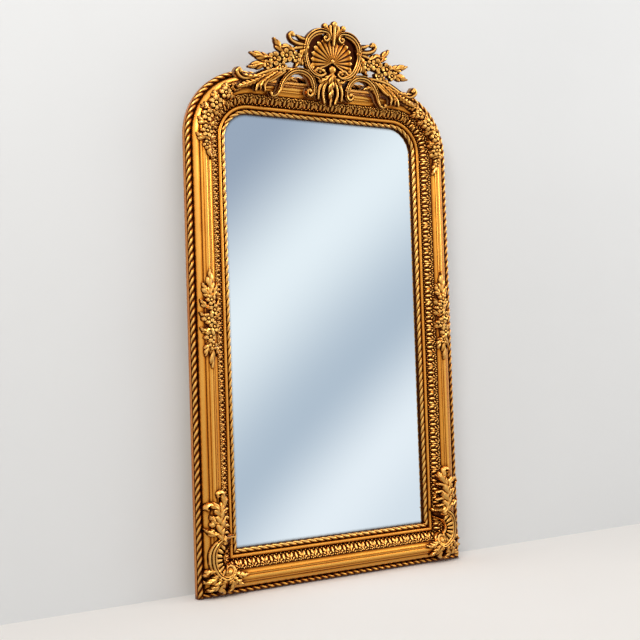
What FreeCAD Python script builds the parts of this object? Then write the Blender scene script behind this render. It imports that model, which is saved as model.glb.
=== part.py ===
"""Gilded baroque standing mirror: moulded frame, applied ornament, bevelled glass and rear hangers.

Millimetres. X runs to the right as seen from the front, -Y is the front and +Z is up.
The origin lies on the floor, under the middle of the frame and half way through its edge.
"""
import FreeCAD, Part
import math
import os
from FreeCAD import Vector

os.makedirs("parts", exist_ok=True)

# Sight opening: square corners at the foot, round shoulders at the top
SIGHT_WIDTH = 732.0
SIGHT_HEIGHT = 1406.0
SHOULDER_RADIUS = 87.0

# Moulding section: w runs outward from the sight edge, h runs forward from the back plane
MOULDING_WIDTH = 140.0
OUTER_WALL_DEPTH = 32.0
BACK_BEVEL = 14.0
RABBET_WIDTH = 12.0
RABBET_DEPTH = 19.0
LIP_THICKNESS = 6.0
INNER_ROPE_RADIUS = 6.8
OUTER_ROPE_RADIUS = 8.6
ROPE_GAP = 0.2
OUTER_LEDGE = 19.5
LEDGE_WALL = 8.0
BEAD_RADIUS = 6.5
BEAD_RISE = 7.0
QUIRK = 1.5
LEAF_QUIRK = 2.5
LEAF_BAND_RUN = 31.0
LEAF_BAND_DROP = 12.4
LEAF_BAND_THICKNESS = 5.0
LEAF_BAND_EDGE = 3.5
CAVETTO_RUN = 13.0
CAVETTO_HOLLOW = 1.6
FILLET_RUN = 5.5
FILLET_STEP = 1.0
RIDGE_HEIGHT = 69.0
RIDGE_FLAT = 10.0
RIDGE_SHOULDER = 2.5
OUTER_BAND_CROWN = 2.2

# Joints of the frame members
DOWEL_RADIUS = 5.0
DOWEL_LENGTH = 60.0
DOWEL_CLEARANCE = 0.1
DOWEL_HEIGHT = 14.0
DOWEL_INNER_W = 48.0
DOWEL_OUTER_W = 98.0

# Glass, backing board and the wooden strips that hold them in the rabbet
GLASS_THICKNESS = 5.0
GLASS_CLEARANCE = 3.0
GROUND_EDGE_WIDTH = 4.0
GROUND_EDGE_DEPTH = 1.0
BOARD_THICKNESS = 6.0
BOARD_CLEARANCE = 1.0
STRIP_WIDTH = 10.0
STRIP_END_GAP = 1.0
BLOCK_LENGTH = 40.0
BLOCK_INSET = 150.0
PIN_RADIUS = 0.8
PIN_LENGTH = 18.0
PIN_INSET = 180.0
PIN_CLEARANCE = 0.05

# Crest: a leaning openwork plane that starts on the top leaf band
CREST_HEIGHT = 276.0
CREST_TILT = 11.6
CREST_FOOT_W = 41.0
CREST_FOOT_RISE = 13.0
CREST_DEPTH = 26.0
CREST_CROWN = 5.0
WING_DEPTH = 28.0
SHELL_DEPTH = 18.0
SHELL_FLUTES = 15
SHELL_BULGE = 12.0
SHELL_FLUTE_DEPTH = 4.0
SHELL_GROUND = 5.0
LEFT_SPRAY_DROOP = 20.0

# Crest bracket, screwed to the top edge of the frame
BRACKET_WIDTH = 70.0
BRACKET_FOOT = 34.0
BRACKET_ARM = 16.0
BRACKET_SCREW_GRIP = 11.0

# Corner, side and shoulder ornament
CARTOUCHE_HEIGHT = 310.0
BOUQUET_HEIGHT = 302.0
BOUQUET_CENTRE_Z = 735.0
GARLAND_WIDTH = 46.0
ORNAMENT_BASE = 5.0
ORNAMENT_CROWN = 10.0

# Strap hangers with loose rings on the back of the stiles
HANGER_DROP = 129.0
HANGER_W = 62.0
STRAP_WIDTH = 18.0
STRAP_LENGTH = 66.0
STRAP_THICKNESS = 1.6
RING_WIRE_RADIUS = 2.0
RING_WIDTH = 32.0
RING_DROP = 28.0
RING_CLEARANCE = 0.08
RING_STRAP_GAP = 0.4
SCREW_RADIUS = 1.9
SCREW_HEAD_RADIUS = 4.0
SCREW_HEAD_HEIGHT = 2.2
SCREW_LENGTH = 22.0
SCREW_CLEARANCE = 0.1
STRAP_SCREW_DROP = 40.0
STRAP_SCREW_PITCH = 16.0

# Places that follow from the sizes above
BACK_Y = OUTER_WALL_DEPTH / 2
SIGHT_X = SIGHT_WIDTH / 2
SIGHT_FOOT = MOULDING_WIDTH
SIGHT_TOP = MOULDING_WIDTH + SIGHT_HEIGHT
OUTER_X = SIGHT_X + MOULDING_WIDTH
OUTER_TOP = SIGHT_TOP + MOULDING_WIDTH
SPRING_X = SIGHT_X - SHOULDER_RADIUS
SPRING_Z = SIGHT_TOP - SHOULDER_RADIUS
ROPE_SEAT = RABBET_DEPTH + LIP_THICKNESS
RIDGE_Y = BACK_Y - RIDGE_HEIGHT
LEDGE_W = MOULDING_WIDTH - OUTER_LEDGE
INNER_ROPE_W = INNER_ROPE_RADIUS + ROPE_GAP
BEAD_W = 2 * INNER_ROPE_W + QUIRK + BEAD_RADIUS
BEAD_H = ROPE_SEAT + BEAD_RISE
LEAF_FOOT = (BEAD_W + BEAD_RADIUS + LEAF_QUIRK, BEAD_H - QUIRK)
LEAF_HEAD = (LEAF_FOOT[0] + LEAF_BAND_RUN, RIDGE_HEIGHT - LEAF_BAND_DROP)
LEAF_LENGTH = math.hypot(LEAF_HEAD[0] - LEAF_FOOT[0], LEAF_HEAD[1] - LEAF_FOOT[1])
LEAF_ALONG = ((LEAF_HEAD[0] - LEAF_FOOT[0]) / LEAF_LENGTH, (LEAF_HEAD[1] - LEAF_FOOT[1]) / LEAF_LENGTH)


def export(name, shape):
    shape.exportStep("parts/" + name + ".step")


def mirrored(shape):
    return shape.mirror(Vector(0, 0, 0), Vector(1, 0, 0))


def export_pair(name, right):
    export(name + "_right", right)
    export(name + "_left", mirrored(right))


def joined(solids):
    """One piece from overlapping forms, with the seams between flat faces removed."""
    return solids[0].fuse(solids[1:]).removeSplitter()


def largest(shape):
    return max(shape.Solids, key=lambda solid: solid.Volume)


# Moulding sections

def midpoint_pushed(a, b, push):
    """Middle of a chord, pushed out to its left side seen from a to b."""
    run, rise = b[0] - a[0], b[1] - a[1]
    chord = math.hypot(run, rise)
    return ((a[0] + b[0]) / 2 - push * rise / chord, (a[1] + b[1]) / 2 + push * run / chord)


def on_leaf_seat(along, out):
    """Point along the sloping seat of the leaf band and out from it."""
    return (LEAF_FOOT[0] + along * LEAF_ALONG[0] - out * LEAF_ALONG[1],
            LEAF_FOOT[1] + along * LEAF_ALONG[1] + out * LEAF_ALONG[0])


LEAF_SHOULDER = on_leaf_seat(LEAF_LENGTH, LEAF_BAND_EDGE)
CAVETTO_END = (LEAF_SHOULDER[0] + CAVETTO_RUN, RIDGE_HEIGHT - RIDGE_SHOULDER - FILLET_STEP)
FILLET_END = (CAVETTO_END[0] + FILLET_RUN, RIDGE_HEIGHT - RIDGE_SHOULDER)
RIDGE_START = (FILLET_END[0] + RIDGE_SHOULDER, RIDGE_HEIGHT)
RIDGE_END = (RIDGE_START[0] + RIDGE_FLAT, RIDGE_HEIGHT)
SLOPE_START = (RIDGE_END[0] + RIDGE_SHOULDER, RIDGE_HEIGHT - RIDGE_SHOULDER)
SLOPE_END = (LEDGE_W, OUTER_WALL_DEPTH + LEDGE_WALL)
ORNAMENT_W = RIDGE_START[0] + RIDGE_SHOULDER


def moulding_outline():
    """Corner points in order; a third entry is the middle point of an arc that ends there."""
    slope_middle = ((SLOPE_START[0] + SLOPE_END[0]) / 2, (SLOPE_START[1] + SLOPE_END[1]) / 2)
    slope_quirk = (slope_middle[0], slope_middle[1] - QUIRK)
    ridge_round = RIDGE_SHOULDER / 5
    bead_in = (BEAD_W - BEAD_RADIUS, BEAD_H)
    bead_out = (BEAD_W + BEAD_RADIUS, BEAD_H)
    return [
        (RABBET_WIDTH, 0.0),
        (RABBET_WIDTH, RABBET_DEPTH),
        (0.0, RABBET_DEPTH),
        (0.0, ROPE_SEAT),
        (2 * INNER_ROPE_W, ROPE_SEAT),
        (2 * INNER_ROPE_W, BEAD_H - QUIRK),
        bead_in,
        (bead_out[0], bead_out[1], (BEAD_W, BEAD_H + BEAD_RADIUS)),
        LEAF_FOOT,
        LEAF_HEAD,
        LEAF_SHOULDER,
        CAVETTO_END + (midpoint_pushed(LEAF_SHOULDER, CAVETTO_END, -CAVETTO_HOLLOW),),
        FILLET_END,
        RIDGE_START + (midpoint_pushed(FILLET_END, RIDGE_START, ridge_round),),
        RIDGE_END,
        SLOPE_START + (midpoint_pushed(RIDGE_END, SLOPE_START, ridge_round),),
        slope_middle + (midpoint_pushed(SLOPE_START, slope_middle, OUTER_BAND_CROWN / 2),),
        slope_quirk,
        SLOPE_END + (midpoint_pushed(slope_quirk, SLOPE_END, OUTER_BAND_CROWN),),
        (LEDGE_W, OUTER_WALL_DEPTH),
        (MOULDING_WIDTH, OUTER_WALL_DEPTH),
        (MOULDING_WIDTH, BACK_BEVEL),
        (MOULDING_WIDTH - BACK_BEVEL, 0.0),
    ]


def rope_outline(centre_w, seat, radius):
    """Round rope with a flat back, seated on its ledge."""
    stand = radius * 0.55
    centre_h = seat + stand
    half_chord = math.sqrt(radius ** 2 - stand ** 2)
    side = math.radians(15)
    side_w, side_h = radius * math.cos(side), centre_h + radius * math.sin(side)
    return [
        (centre_w - half_chord, seat),
        (centre_w, centre_h + radius, (centre_w - side_w, side_h)),
        (centre_w + half_chord, seat, (centre_w + side_w, side_h)),
    ]


def leaf_band_outline():
    """Low cushion that thins out to a rounded foot and a thin head."""
    return [
        on_leaf_seat(0.0, 0.0),
        on_leaf_seat(LEAF_BAND_THICKNESS * 0.4, LEAF_BAND_THICKNESS * 0.5),
        on_leaf_seat(LEAF_LENGTH * 0.3, LEAF_BAND_THICKNESS),
        on_leaf_seat(LEAF_LENGTH * 0.75, LEAF_BAND_THICKNESS),
        on_leaf_seat(LEAF_LENGTH, LEAF_BAND_EDGE),
        on_leaf_seat(LEAF_LENGTH, 0.0),
    ]


def section_face(outline, place):
    """Face from an outline of corner points and arcs, with place(w, h) giving the 3-D point."""
    edges = []
    last = place(*outline[-1][:2])
    for corner in outline:
        here = place(*corner[:2])
        if len(corner) == 3:
            edges.append(Part.Arc(last, place(*corner[2]), here).toShape())
        else:
            edges.append(Part.makeLine(last, here))
        last = here
    return Part.Face(Part.Wire(edges))


def mitre_wedge(side, above):
    """Prism on the stile's side of the 45 degree mitre plane at a foot corner, or on the rail's side."""
    margin = MOULDING_WIDTH
    inner, outer = SIGHT_X - margin, OUTER_X + margin
    low, high = -margin, SIGHT_FOOT + margin
    third = (outer, high) if above else (inner, low)
    front = -4 * RIDGE_HEIGHT
    corners = [Vector(side * x, front, z) for x, z in ((inner, high), (outer, low), third)]
    face = Part.Face(Part.makePolygon(corners + corners[:1]))
    return face.extrude(Vector(0, -2 * front, 0))


def frame_runs(outline):
    """The six lengths of a moulding or strip round the frame."""
    stile_face = section_face(outline, lambda w, h: Vector(SIGHT_X + w, BACK_Y - h, SPRING_Z))
    rail_face = section_face(outline, lambda w, h: Vector(-OUTER_X, BACK_Y - h, SIGHT_FOOT - w))
    head_face = section_face(outline, lambda w, h: Vector(-SPRING_X, BACK_Y - h, SIGHT_TOP + w))
    right = stile_face.extrude(Vector(0, 0, -SPRING_Z)).cut(mitre_wedge(1, False))
    foot = rail_face.extrude(Vector(2 * OUTER_X, 0, 0)).cut([mitre_wedge(1, True), mitre_wedge(-1, True)])
    head = head_face.extrude(Vector(2 * SPRING_X, 0, 0))
    shoulder = stile_face.revolve(Vector(SPRING_X, 0, SPRING_Z), Vector(0, -1, 0), 90)
    return {
        "right": largest(right),
        "left": mirrored(largest(right)),
        "bottom": largest(foot),
        "top": largest(head),
        "shoulder_right": largest(shoulder),
        "shoulder_left": mirrored(largest(shoulder)),
    }


def dowel(centre, direction, grow=0.0):
    length = DOWEL_LENGTH + 2 * grow
    start = centre - direction * (length / 2)
    return Part.makeCylinder(DOWEL_RADIUS + grow, length, start, direction)


def dowel_places():
    """Middle and direction of each dowel, two to a joint."""
    y = BACK_Y - DOWEL_HEIGHT
    places = []
    for side in (-1, 1):
        for w in (DOWEL_INNER_W, DOWEL_OUTER_W):
            mitre = Vector(side * (SIGHT_X + w), y, SIGHT_FOOT - w)
            places.append((mitre, Vector(side, 0, 1).normalize()))
            places.append((Vector(side * (SIGHT_X + w), y, SPRING_Z), Vector(0, 0, 1)))
            places.append((Vector(side * SPRING_X, y, SIGHT_TOP + w), Vector(1, 0, 0)))
    return places


# Glass, board and the strips behind them

def opening_wire(w, y):
    """Arched outline that stands w outside the sight edge."""
    radius = SHOULDER_RADIUS + w
    x = SIGHT_X + w
    foot = SIGHT_FOOT - w
    top = SIGHT_TOP + w
    slant = radius * math.sqrt(0.5)
    left_arc = Part.Arc(Vector(-x, y, SPRING_Z), Vector(-SPRING_X - slant, y, SPRING_Z + slant),
                        Vector(-SPRING_X, y, top))
    right_arc = Part.Arc(Vector(SPRING_X, y, top), Vector(SPRING_X + slant, y, SPRING_Z + slant),
                         Vector(x, y, SPRING_Z))
    return Part.Wire([
        Part.makeLine(Vector(-x, y, foot), Vector(-x, y, SPRING_Z)),
        left_arc.toShape(),
        Part.makeLine(Vector(-SPRING_X, y, top), Vector(SPRING_X, y, top)),
        right_arc.toShape(),
        Part.makeLine(Vector(x, y, SPRING_Z), Vector(x, y, foot)),
        Part.makeLine(Vector(x, y, foot), Vector(-x, y, foot)),
    ])


GLASS_W = RABBET_WIDTH - GLASS_CLEARANCE
GLASS_FRONT_Y = BACK_Y - RABBET_DEPTH
GLASS_BACK_Y = GLASS_FRONT_Y + GLASS_THICKNESS
BOARD_BACK_Y = GLASS_BACK_Y + BOARD_THICKNESS


def mirror_glass():
    """Plate glass whose front edge is ground off where it sits in the rabbet."""
    edge = opening_wire(GLASS_W, GLASS_FRONT_Y + GROUND_EDGE_DEPTH)
    flat = opening_wire(GLASS_W - GROUND_EDGE_WIDTH, GLASS_FRONT_Y)
    ground = Part.makeLoft([edge, flat], True, True)
    slab = Part.Face(edge).extrude(Vector(0, GLASS_THICKNESS - GROUND_EDGE_DEPTH, 0))
    return largest(slab.fuse(ground))


def backing_board():
    outline = opening_wire(RABBET_WIDTH - BOARD_CLEARANCE, GLASS_BACK_Y)
    return Part.Face(outline).extrude(Vector(0, BOARD_THICKNESS, 0))


def box_between(x, y, z):
    """Box from the low and high end of each axis."""
    return Part.makeBox(x[1] - x[0], y[1] - y[0], z[1] - z[0], Vector(x[0], y[0], z[0]))


def setting_blocks():
    """Small wooden packers that centre the glass in its rabbet."""
    blocks = []
    inner = GLASS_W
    outer = RABBET_WIDTH
    depth = (GLASS_FRONT_Y + GROUND_EDGE_DEPTH, GLASS_BACK_Y)
    half = BLOCK_LENGTH / 2
    for x in (-SIGHT_X + BLOCK_INSET, SIGHT_X - BLOCK_INSET):
        blocks.append(box_between((x - half, x + half), depth, (SIGHT_FOOT - outer, SIGHT_FOOT - inner)))
    for side in (-1, 1):
        reach = sorted((side * (SIGHT_X + inner), side * (SIGHT_X + outer)))
        for z in (SIGHT_FOOT + BLOCK_INSET, SPRING_Z - BLOCK_INSET):
            blocks.append(box_between(reach, depth, (z - half, z + half)))
    return Part.makeCompound(blocks)


def holding_strips():
    """Square wooden strips pinned into the rabbet behind the board."""
    depth = (BOARD_BACK_Y, BACK_Y)
    outer = RABBET_WIDTH
    inner = RABBET_WIDTH - STRIP_WIDTH
    side_x = (SIGHT_X + inner, SIGHT_X + outer)
    right = box_between(side_x, depth, (SIGHT_FOOT - inner + STRIP_END_GAP, SPRING_Z))
    span = SIGHT_X + outer
    foot = box_between((-span, span), depth, (SIGHT_FOOT - outer, SIGHT_FOOT - inner))
    head = box_between((-SPRING_X, SPRING_X), depth, (SIGHT_TOP + inner, SIGHT_TOP + outer))
    return {"right": right, "left": mirrored(right), "bottom": foot, "top": head}


def strip_pins(grow=0.0):
    """Thin panel pins through the strips into the rabbet wall."""
    y = (BOARD_BACK_Y + BACK_Y) / 2
    start = RABBET_WIDTH - STRIP_WIDTH - grow
    length = PIN_LENGTH + 2 * grow
    pins = []
    for side in (-1, 1):
        x = side * (SPRING_X - PIN_INSET / 2)
        for foot, direction in (
            (Vector(side * (SIGHT_X + start), y, SIGHT_FOOT + PIN_INSET), Vector(side, 0, 0)),
            (Vector(side * (SIGHT_X + start), y, SPRING_Z - PIN_INSET), Vector(side, 0, 0)),
            (Vector(x, y, SIGHT_FOOT - start), Vector(0, 0, -1)),
            (Vector(x, y, SIGHT_TOP + start), Vector(0, 0, 1)),
        ):
            pins.append(Part.makeCylinder(PIN_RADIUS + grow, length, foot, direction))
    return Part.makeCompound(pins)


# Carved forms: every scroll, leaf and flower is swept or ringed in the plane of its ornament

def plane_point(plane, x, s, n):
    """Point of an ornament plane: x across, s along it and n out of it towards the viewer."""
    origin, tilt = plane
    return Vector(origin.x + x,
                  origin.y - s * math.sin(tilt) - n * math.cos(tilt),
                  origin.z + s * math.cos(tilt) - n * math.sin(tilt))


def solid_from_rings(rings):
    """Closed solid skinned over rings that all have the same number of corners."""
    faces = []
    count = len(rings[0])
    for ring, following in zip(rings, rings[1:]):
        for i in range(count):
            j = (i + 1) % count
            faces.append(Part.Face(Part.makePolygon([ring[i], ring[j], following[i], ring[i]])))
            faces.append(Part.Face(Part.makePolygon([ring[j], following[j], following[i], ring[j]])))
    for ring in (rings[0], rings[-1]):
        faces.append(Part.Face(Part.makePolygon(ring + ring[:1])))
    solid = Part.makeSolid(Part.makeShell(faces))
    if solid.Volume < 0:
        solid.reverse()
    return solid


def curve_between(points, t):
    """Smooth curve through control points, for t from 0 to the last point's number."""
    last = len(points) - 1
    i = min(int(t), last - 1)
    f = t - i
    before = points[max(i - 1, 0)]
    a, b = points[i], points[i + 1]
    after = points[min(i + 2, last)]
    value = []
    for p0, p1, p2, p3 in zip(before, a, b, after):
        slope_a, slope_b = (p2 - p0) / 2, (p3 - p1) / 2
        value.append(p1 + f * slope_a + f * f * (3 * (p2 - p1) - 2 * slope_a - slope_b)
                     + f ** 3 * (2 * (p1 - p2) + slope_a + slope_b))
    return value


# Section corners as shares of the half width and of the crown height; back corners lie on the back
SCROLL_SECTION = ((-1, None), (-1, 0.0), (-0.5, 1.0), (0.5, 1.0), (1, 0.0), (1, None))
LEAF_SECTION = ((-1, None), (-1, 0.0), (0, 1.0), (1, 0.0), (1, None))
RELIEF_SECTION = ((-1, None), (0, 1.0), (1, None))


def swept(plane, path, section, crown, back, steps=2, unit=1.0):
    """Scroll or leaf along control points of x, s and half width, standing on its flat back."""
    stations = (len(path) - 1) * steps
    rings = []
    for k in range(stations + 1):
        t = k / steps
        x, s, half = curve_between(path, t)
        ahead = curve_between(path, min(t + 0.02, len(path) - 1))
        behind = curve_between(path, max(t - 0.02, 0))
        run, rise = ahead[0] - behind[0], ahead[1] - behind[1]
        length = math.hypot(run, rise)
        across = (-rise / length, run / length)
        height = crown * min(1.0, 0.4 + half / 10)
        ring = []
        for u, v in section:
            depth = back if v is None else v * height
            ring.append(plane_point(plane, unit * (x + u * half * across[0]),
                                    unit * (s + u * half * across[1]), depth))
        rings.append(ring)
    return solid_from_rings(rings)


def scroll(plane, path, crown, back, unit=1.0, steps=2):
    return swept(plane, path, SCROLL_SECTION, crown, back, steps, unit)


def leaf(plane, path, crown, back, unit=1.0):
    return swept(plane, path, LEAF_SECTION, crown, back, 2, unit)


def relief_leaf(plane, path, crown, back, unit=1.0):
    """Leaf that lies on the frame: a ridged blade that falls away to its edges."""
    return swept(plane, path, RELIEF_SECTION, crown, back, 1, unit)


def flower(plane, x, s, radius, crown, back, unit=1.0, petals=5):
    """Open flower: a lobed disc that rises to a small flat eye."""
    rings = []
    for share, height in ((0.95, back), (1.0, crown * 0.3), (0.3, crown)):
        ring = []
        for k in range(2 * petals):
            lobe = 1.0 if k % 2 else 0.78
            angle = math.pi * k / petals
            reach = radius * share * lobe
            ring.append(plane_point(plane, unit * (x + reach * math.cos(angle)),
                                    unit * (s + reach * math.sin(angle)), height))
        rings.append(ring)
    return solid_from_rings(rings)


# Crest

CREST_UNIT = CREST_HEIGHT / 276.0
CREST_ORIGIN = Vector(0, RIDGE_Y - CREST_FOOT_RISE, SIGHT_TOP + CREST_FOOT_W)
CREST = (CREST_ORIGIN, math.radians(CREST_TILT))
SHELL_CENTRE = CREST_UNIT * 138.0
SHELL_RISE = CREST_UNIT * 65.0
SHELL_REACH = CREST_UNIT * 72.0


def behind_ridge():
    """Everything behind the flat top of the ridge, which carries all applied ornament."""
    reach = 2 * OUTER_X
    return box_between((-reach, reach), (RIDGE_Y, reach), (-reach, OUTER_TOP + reach))


def seated(solids):
    return largest(joined(solids).cut(behind_ridge()))


def crest_shell():
    """Scallop shell: flutes fan out from the umbo over a bulging front and a flat back."""
    start, end = math.radians(-14), math.radians(194)
    lines = 2 * SHELL_FLUTES
    shares = (0.12, 0.4, 0.7, 0.92, 1.0)
    front = []
    back = []
    for k in range(lines + 1):
        angle = start + (end - start) * k / lines
        on_crown = k % 2
        row = []
        for share in shares:
            grow = share * (1.0 if on_crown else 0.95)
            x = SHELL_REACH * grow * math.cos(angle)
            s = SHELL_CENTRE + SHELL_RISE * grow * math.sin(angle)
            height = SHELL_BULGE * (1 - share ** 2) - SHELL_FLUTE_DEPTH
            height += SHELL_FLUTE_DEPTH * share * (0.5 if on_crown else -0.5)
            row.append((x, s, height))
        front.append([plane_point(CREST, *p) for p in row])
        back.append([plane_point(CREST, p[0], p[1], -SHELL_DEPTH) for p in (row[0], row[-1])])
    triangles = []
    for k in range(lines):
        a, b = front[k], front[k + 1]
        low, high = back[k], back[k + 1]
        for i in range(len(shares) - 1):
            triangles.append([a[i], a[i + 1], b[i]])
            triangles.append([a[i + 1], b[i + 1], b[i]])
        triangles.append([a[-1], low[1], b[-1]])
        triangles.append([low[1], high[1], b[-1]])
        triangles.append([a[0], b[0], low[0]])
        triangles.append([b[0], high[0], low[0]])
        triangles.append([low[0], high[0], low[1]])
        triangles.append([high[0], high[1], low[1]])
    for k in (0, lines):
        row, rear = front[k], back[k]
        triangles.append([row[0], rear[0], rear[1]])
        for i in range(len(shares) - 1):
            triangles.append([row[i], row[i + 1], rear[1]])
    solid = Part.makeSolid(Part.makeShell([Part.Face(Part.makePolygon(t + t[:1])) for t in triangles]))
    if solid.Volume < 0:
        solid.reverse()
    umbo = flower(CREST, 0, 134, 16, SHELL_BULGE, -SHELL_DEPTH, CREST_UNIT, 4)
    return largest(solid.fuse([umbo, shell_ground()]))


def shell_ground():
    """Thin ground that the shell and its surround are carved on, hidden under the surround's edge."""
    right = [(26, 99), (62, 99), (86, 116), (98, 140), (102, 168), (97, 198), (80, 222), (52, 232), (24, 224)]
    left = [(-x, s) for x, s in reversed(right)]
    corners = [plane_point(CREST, CREST_UNIT * x, CREST_UNIT * s, -SHELL_DEPTH) for x, s in right + left]
    face = Part.Face(Part.makePolygon(corners + corners[:1]))
    return face.extrude(plane_point(CREST, 0, 0, SHELL_GROUND) - CREST_ORIGIN)


def crest_band(path, crown, back):
    """Scroll of the crest; crown is a share of the crest's relief."""
    return scroll(CREST, path, crown * CREST_CROWN, back, CREST_UNIT)


def crest_leaf(path, crown, back):
    return leaf(CREST, path, crown * CREST_CROWN, back, CREST_UNIT)


def crest_flower(x, s, radius, crown, back, petals=5):
    return flower(CREST, x, s, radius, crown * CREST_CROWN, back, CREST_UNIT, petals)


def shell_surround():
    """Right half of the scrolled surround: lower C, upper C with its volute, and outer acanthus."""
    back = -SHELL_DEPTH
    lower = crest_band([(31, 113, 3), (24, 103, 4), (40, 93, 6), (65, 97, 8), (86, 113, 9),
                           (99, 138, 9), (104, 165, 9), (100, 195, 8)], 1.0, back)
    upper = crest_band([(36, 223, 3), (38, 214, 4), (28, 208, 5.5), (17, 219, 7), (25, 234, 8.5),
                           (49, 236, 11.5), (74, 228, 12), (93, 210, 11), (102, 188, 9)], 1.0, back)
    curl = crest_leaf([(98, 190, 8), (118, 187, 9), (142, 190, 8), (160, 198, 6), (165, 211, 5),
                        (157, 219, 4), (150, 212, 2.5)], 0.8, back)
    lobes = [
        crest_leaf([(100, 172, 6), (114, 164, 9), (120, 146, 4)], 0.8, back),
        crest_leaf([(100, 204, 5), (120, 205, 6), (136, 210, 2.5)], 0.8, back),
        crest_leaf([(104, 182, 6), (126, 178, 6), (146, 172, 2.5)], 0.6, back),
        crest_leaf([(66, 104, 5), (52, 116, 7), (38, 112, 4)], 0.8, back),
    ]
    return joined([lower, upper, curl] + lobes)


def crest_finial():
    """Palmette that crowns the shell."""
    back = -SHELL_DEPTH
    plume = crest_leaf([(0, 200, 6), (0, 226, 13), (0, 252, 12), (0, 276, 6)], 1.2, back)
    lobes = []
    for side in (-1, 1):
        lobes.append(crest_leaf([(side * 3, 208, 5), (side * 13, 244, 7), (side * 11, 270, 5)], 1.0, back))
        lobes.append(crest_leaf([(side * 5, 216, 5), (side * 20, 246, 7), (side * 38, 258, 5)], 1.0, back))
    return joined([plume] + lobes)


def crest_pendant():
    """Acanthus drop that hangs from the shell over the top leaf band."""
    back = -CREST_DEPTH
    stem = crest_leaf([(0, 122, 9), (0, 96, 7), (0, 64, 10), (0, 32, 11), (0, 1, 5)], 1.6, back)
    boss = crest_flower(0, 116, 12, 1.8, back, 4)
    fronds = []
    for side in (-1, 1):
        fronds.append(crest_leaf([(side * 4, 86, 5), (side * 18, 66, 5.5), (side * 27, 36, 6),
                                   (side * 20, 4, 4)], 1.0, back))
        fronds.append(crest_leaf([(side * 5, 100, 5), (side * 19, 86, 7), (side * 38, 76, 7),
                                   (side * 50, 84, 3)], 1.0, back))
        fronds.append(crest_leaf([(side * 18, 70, 5), (side * 40, 54, 6), (side * 46, 26, 5)], 0.8, back))
    return joined([stem, boss] + fronds)


def crest_scroll():
    """Right wing: C-scroll with inner volute and foot curl, and the acanthus that runs to the end hook."""
    back = -WING_DEPTH
    c_scroll = crest_band([(78, 46, 3), (88, 41, 4), (87, 29, 5), (75, 24, 6), (65, 35, 8), (66, 55, 10),
                              (77, 77, 12), (96, 91, 13), (119, 95, 13.5), (145, 90, 13), (168, 74, 11.5),
                              (184, 52, 9), (193, 31, 6.5), (204, 17, 5), (217, 14, 4), (224, 22, 3)],
                      1.0, back)
    inner_leaf = crest_leaf([(178, 56, 5), (164, 72, 7), (146, 72, 6), (132, 66, 3)], 0.8, back)
    wing = crest_leaf([(140, 102, 6), (180, 99, 11), (220, 88, 14), (255, 72, 15), (287, 57, 13),
                        (316, 52, 9), (336, 59, 7), (345, 74, 5), (338, 84, 4), (331, 77, 2.5)],
                1.0, back)
    fronds = [
        crest_leaf([(196, 92, 6), (222, 72, 7), (240, 54, 3)], 0.8, back),
        crest_leaf([(236, 78, 6), (248, 52, 7), (244, 28, 3)], 0.8, back),
        crest_leaf([(258, 66, 6), (274, 46, 7), (277, 26, 3)], 0.8, back),
        crest_leaf([(268, 58, 6), (300, 38, 9), (336, 28, 4)], 0.8, back),
    ]
    return [c_scroll, inner_leaf, wing] + fronds


def flower_spray(droop):
    """Right spray of flowers, buds and pointed leaves; droop lowers its outer end."""
    back = -SHELL_DEPTH
    root = 108.0
    span = 190.0

    def lowered(path):
        return [(x, s - droop * (x - root) / span, half) for x, s, half in path]

    stems = [
        crest_leaf(lowered([(106, 166, 6), (150, 150, 7), (200, 142, 7), (248, 136, 5)]), 0.4, back),
        crest_leaf(lowered([(186, 160, 6), (205, 184, 9), (219, 204, 3)]), 0.8, back),
        crest_leaf(lowered([(236, 146, 6), (272, 152, 9), (299, 160, 2.5)]), 0.8, back),
        crest_leaf(lowered([(236, 132, 6), (274, 122, 10), (303, 117, 2.5)]), 0.8, back),
        crest_leaf(lowered([(150, 168, 5), (172, 178, 7), (192, 176, 3)]), 0.6, back),
    ]
    blooms = []
    for x, s, radius in ((138, 145, 16), (170, 155, 17), (193, 140, 15), (222, 152, 14), (243, 138, 13),
                         (162, 127, 13), (197, 118, 13), (226, 124, 12), (239, 113, 12)):
        blooms.append(crest_flower(x, s - droop * (x - root) / span, radius, 1.2, back))
    return joined(stems + blooms)


def crest_bracket():
    """Shaped wooden knee that carries the shell from the top edge of the frame."""
    def arm(s, n):
        p = plane_point(CREST, 0, s, n)
        return (p.y, p.z)

    top = SHELL_CENTRE + 0.9 * SHELL_RISE
    low = arm(SHELL_CENTRE - 0.4 * SHELL_RISE, -SHELL_DEPTH)
    high = arm(top, -SHELL_DEPTH)
    high_back = arm(top, -SHELL_DEPTH - BRACKET_ARM)
    corners = [
        (BACK_Y - BACK_BEVEL, OUTER_TOP),
        (BACK_Y - OUTER_WALL_DEPTH, OUTER_TOP),
        low,
        high,
        high_back,
        (BACK_Y - OUTER_WALL_DEPTH, OUTER_TOP + BRACKET_FOOT),
        (BACK_Y - BACK_BEVEL, OUTER_TOP + BRACKET_FOOT),
    ]
    points = [Vector(-BRACKET_WIDTH / 2, y, z) for y, z in corners]
    face = Part.Face(Part.makePolygon(points + points[:1]))
    return face.extrude(Vector(BRACKET_WIDTH, 0, 0))


# Applied ornament on the ridge

def upright_plane(x, z):
    return (Vector(x, RIDGE_Y - ORNAMENT_BASE, z), 0.0)


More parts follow.
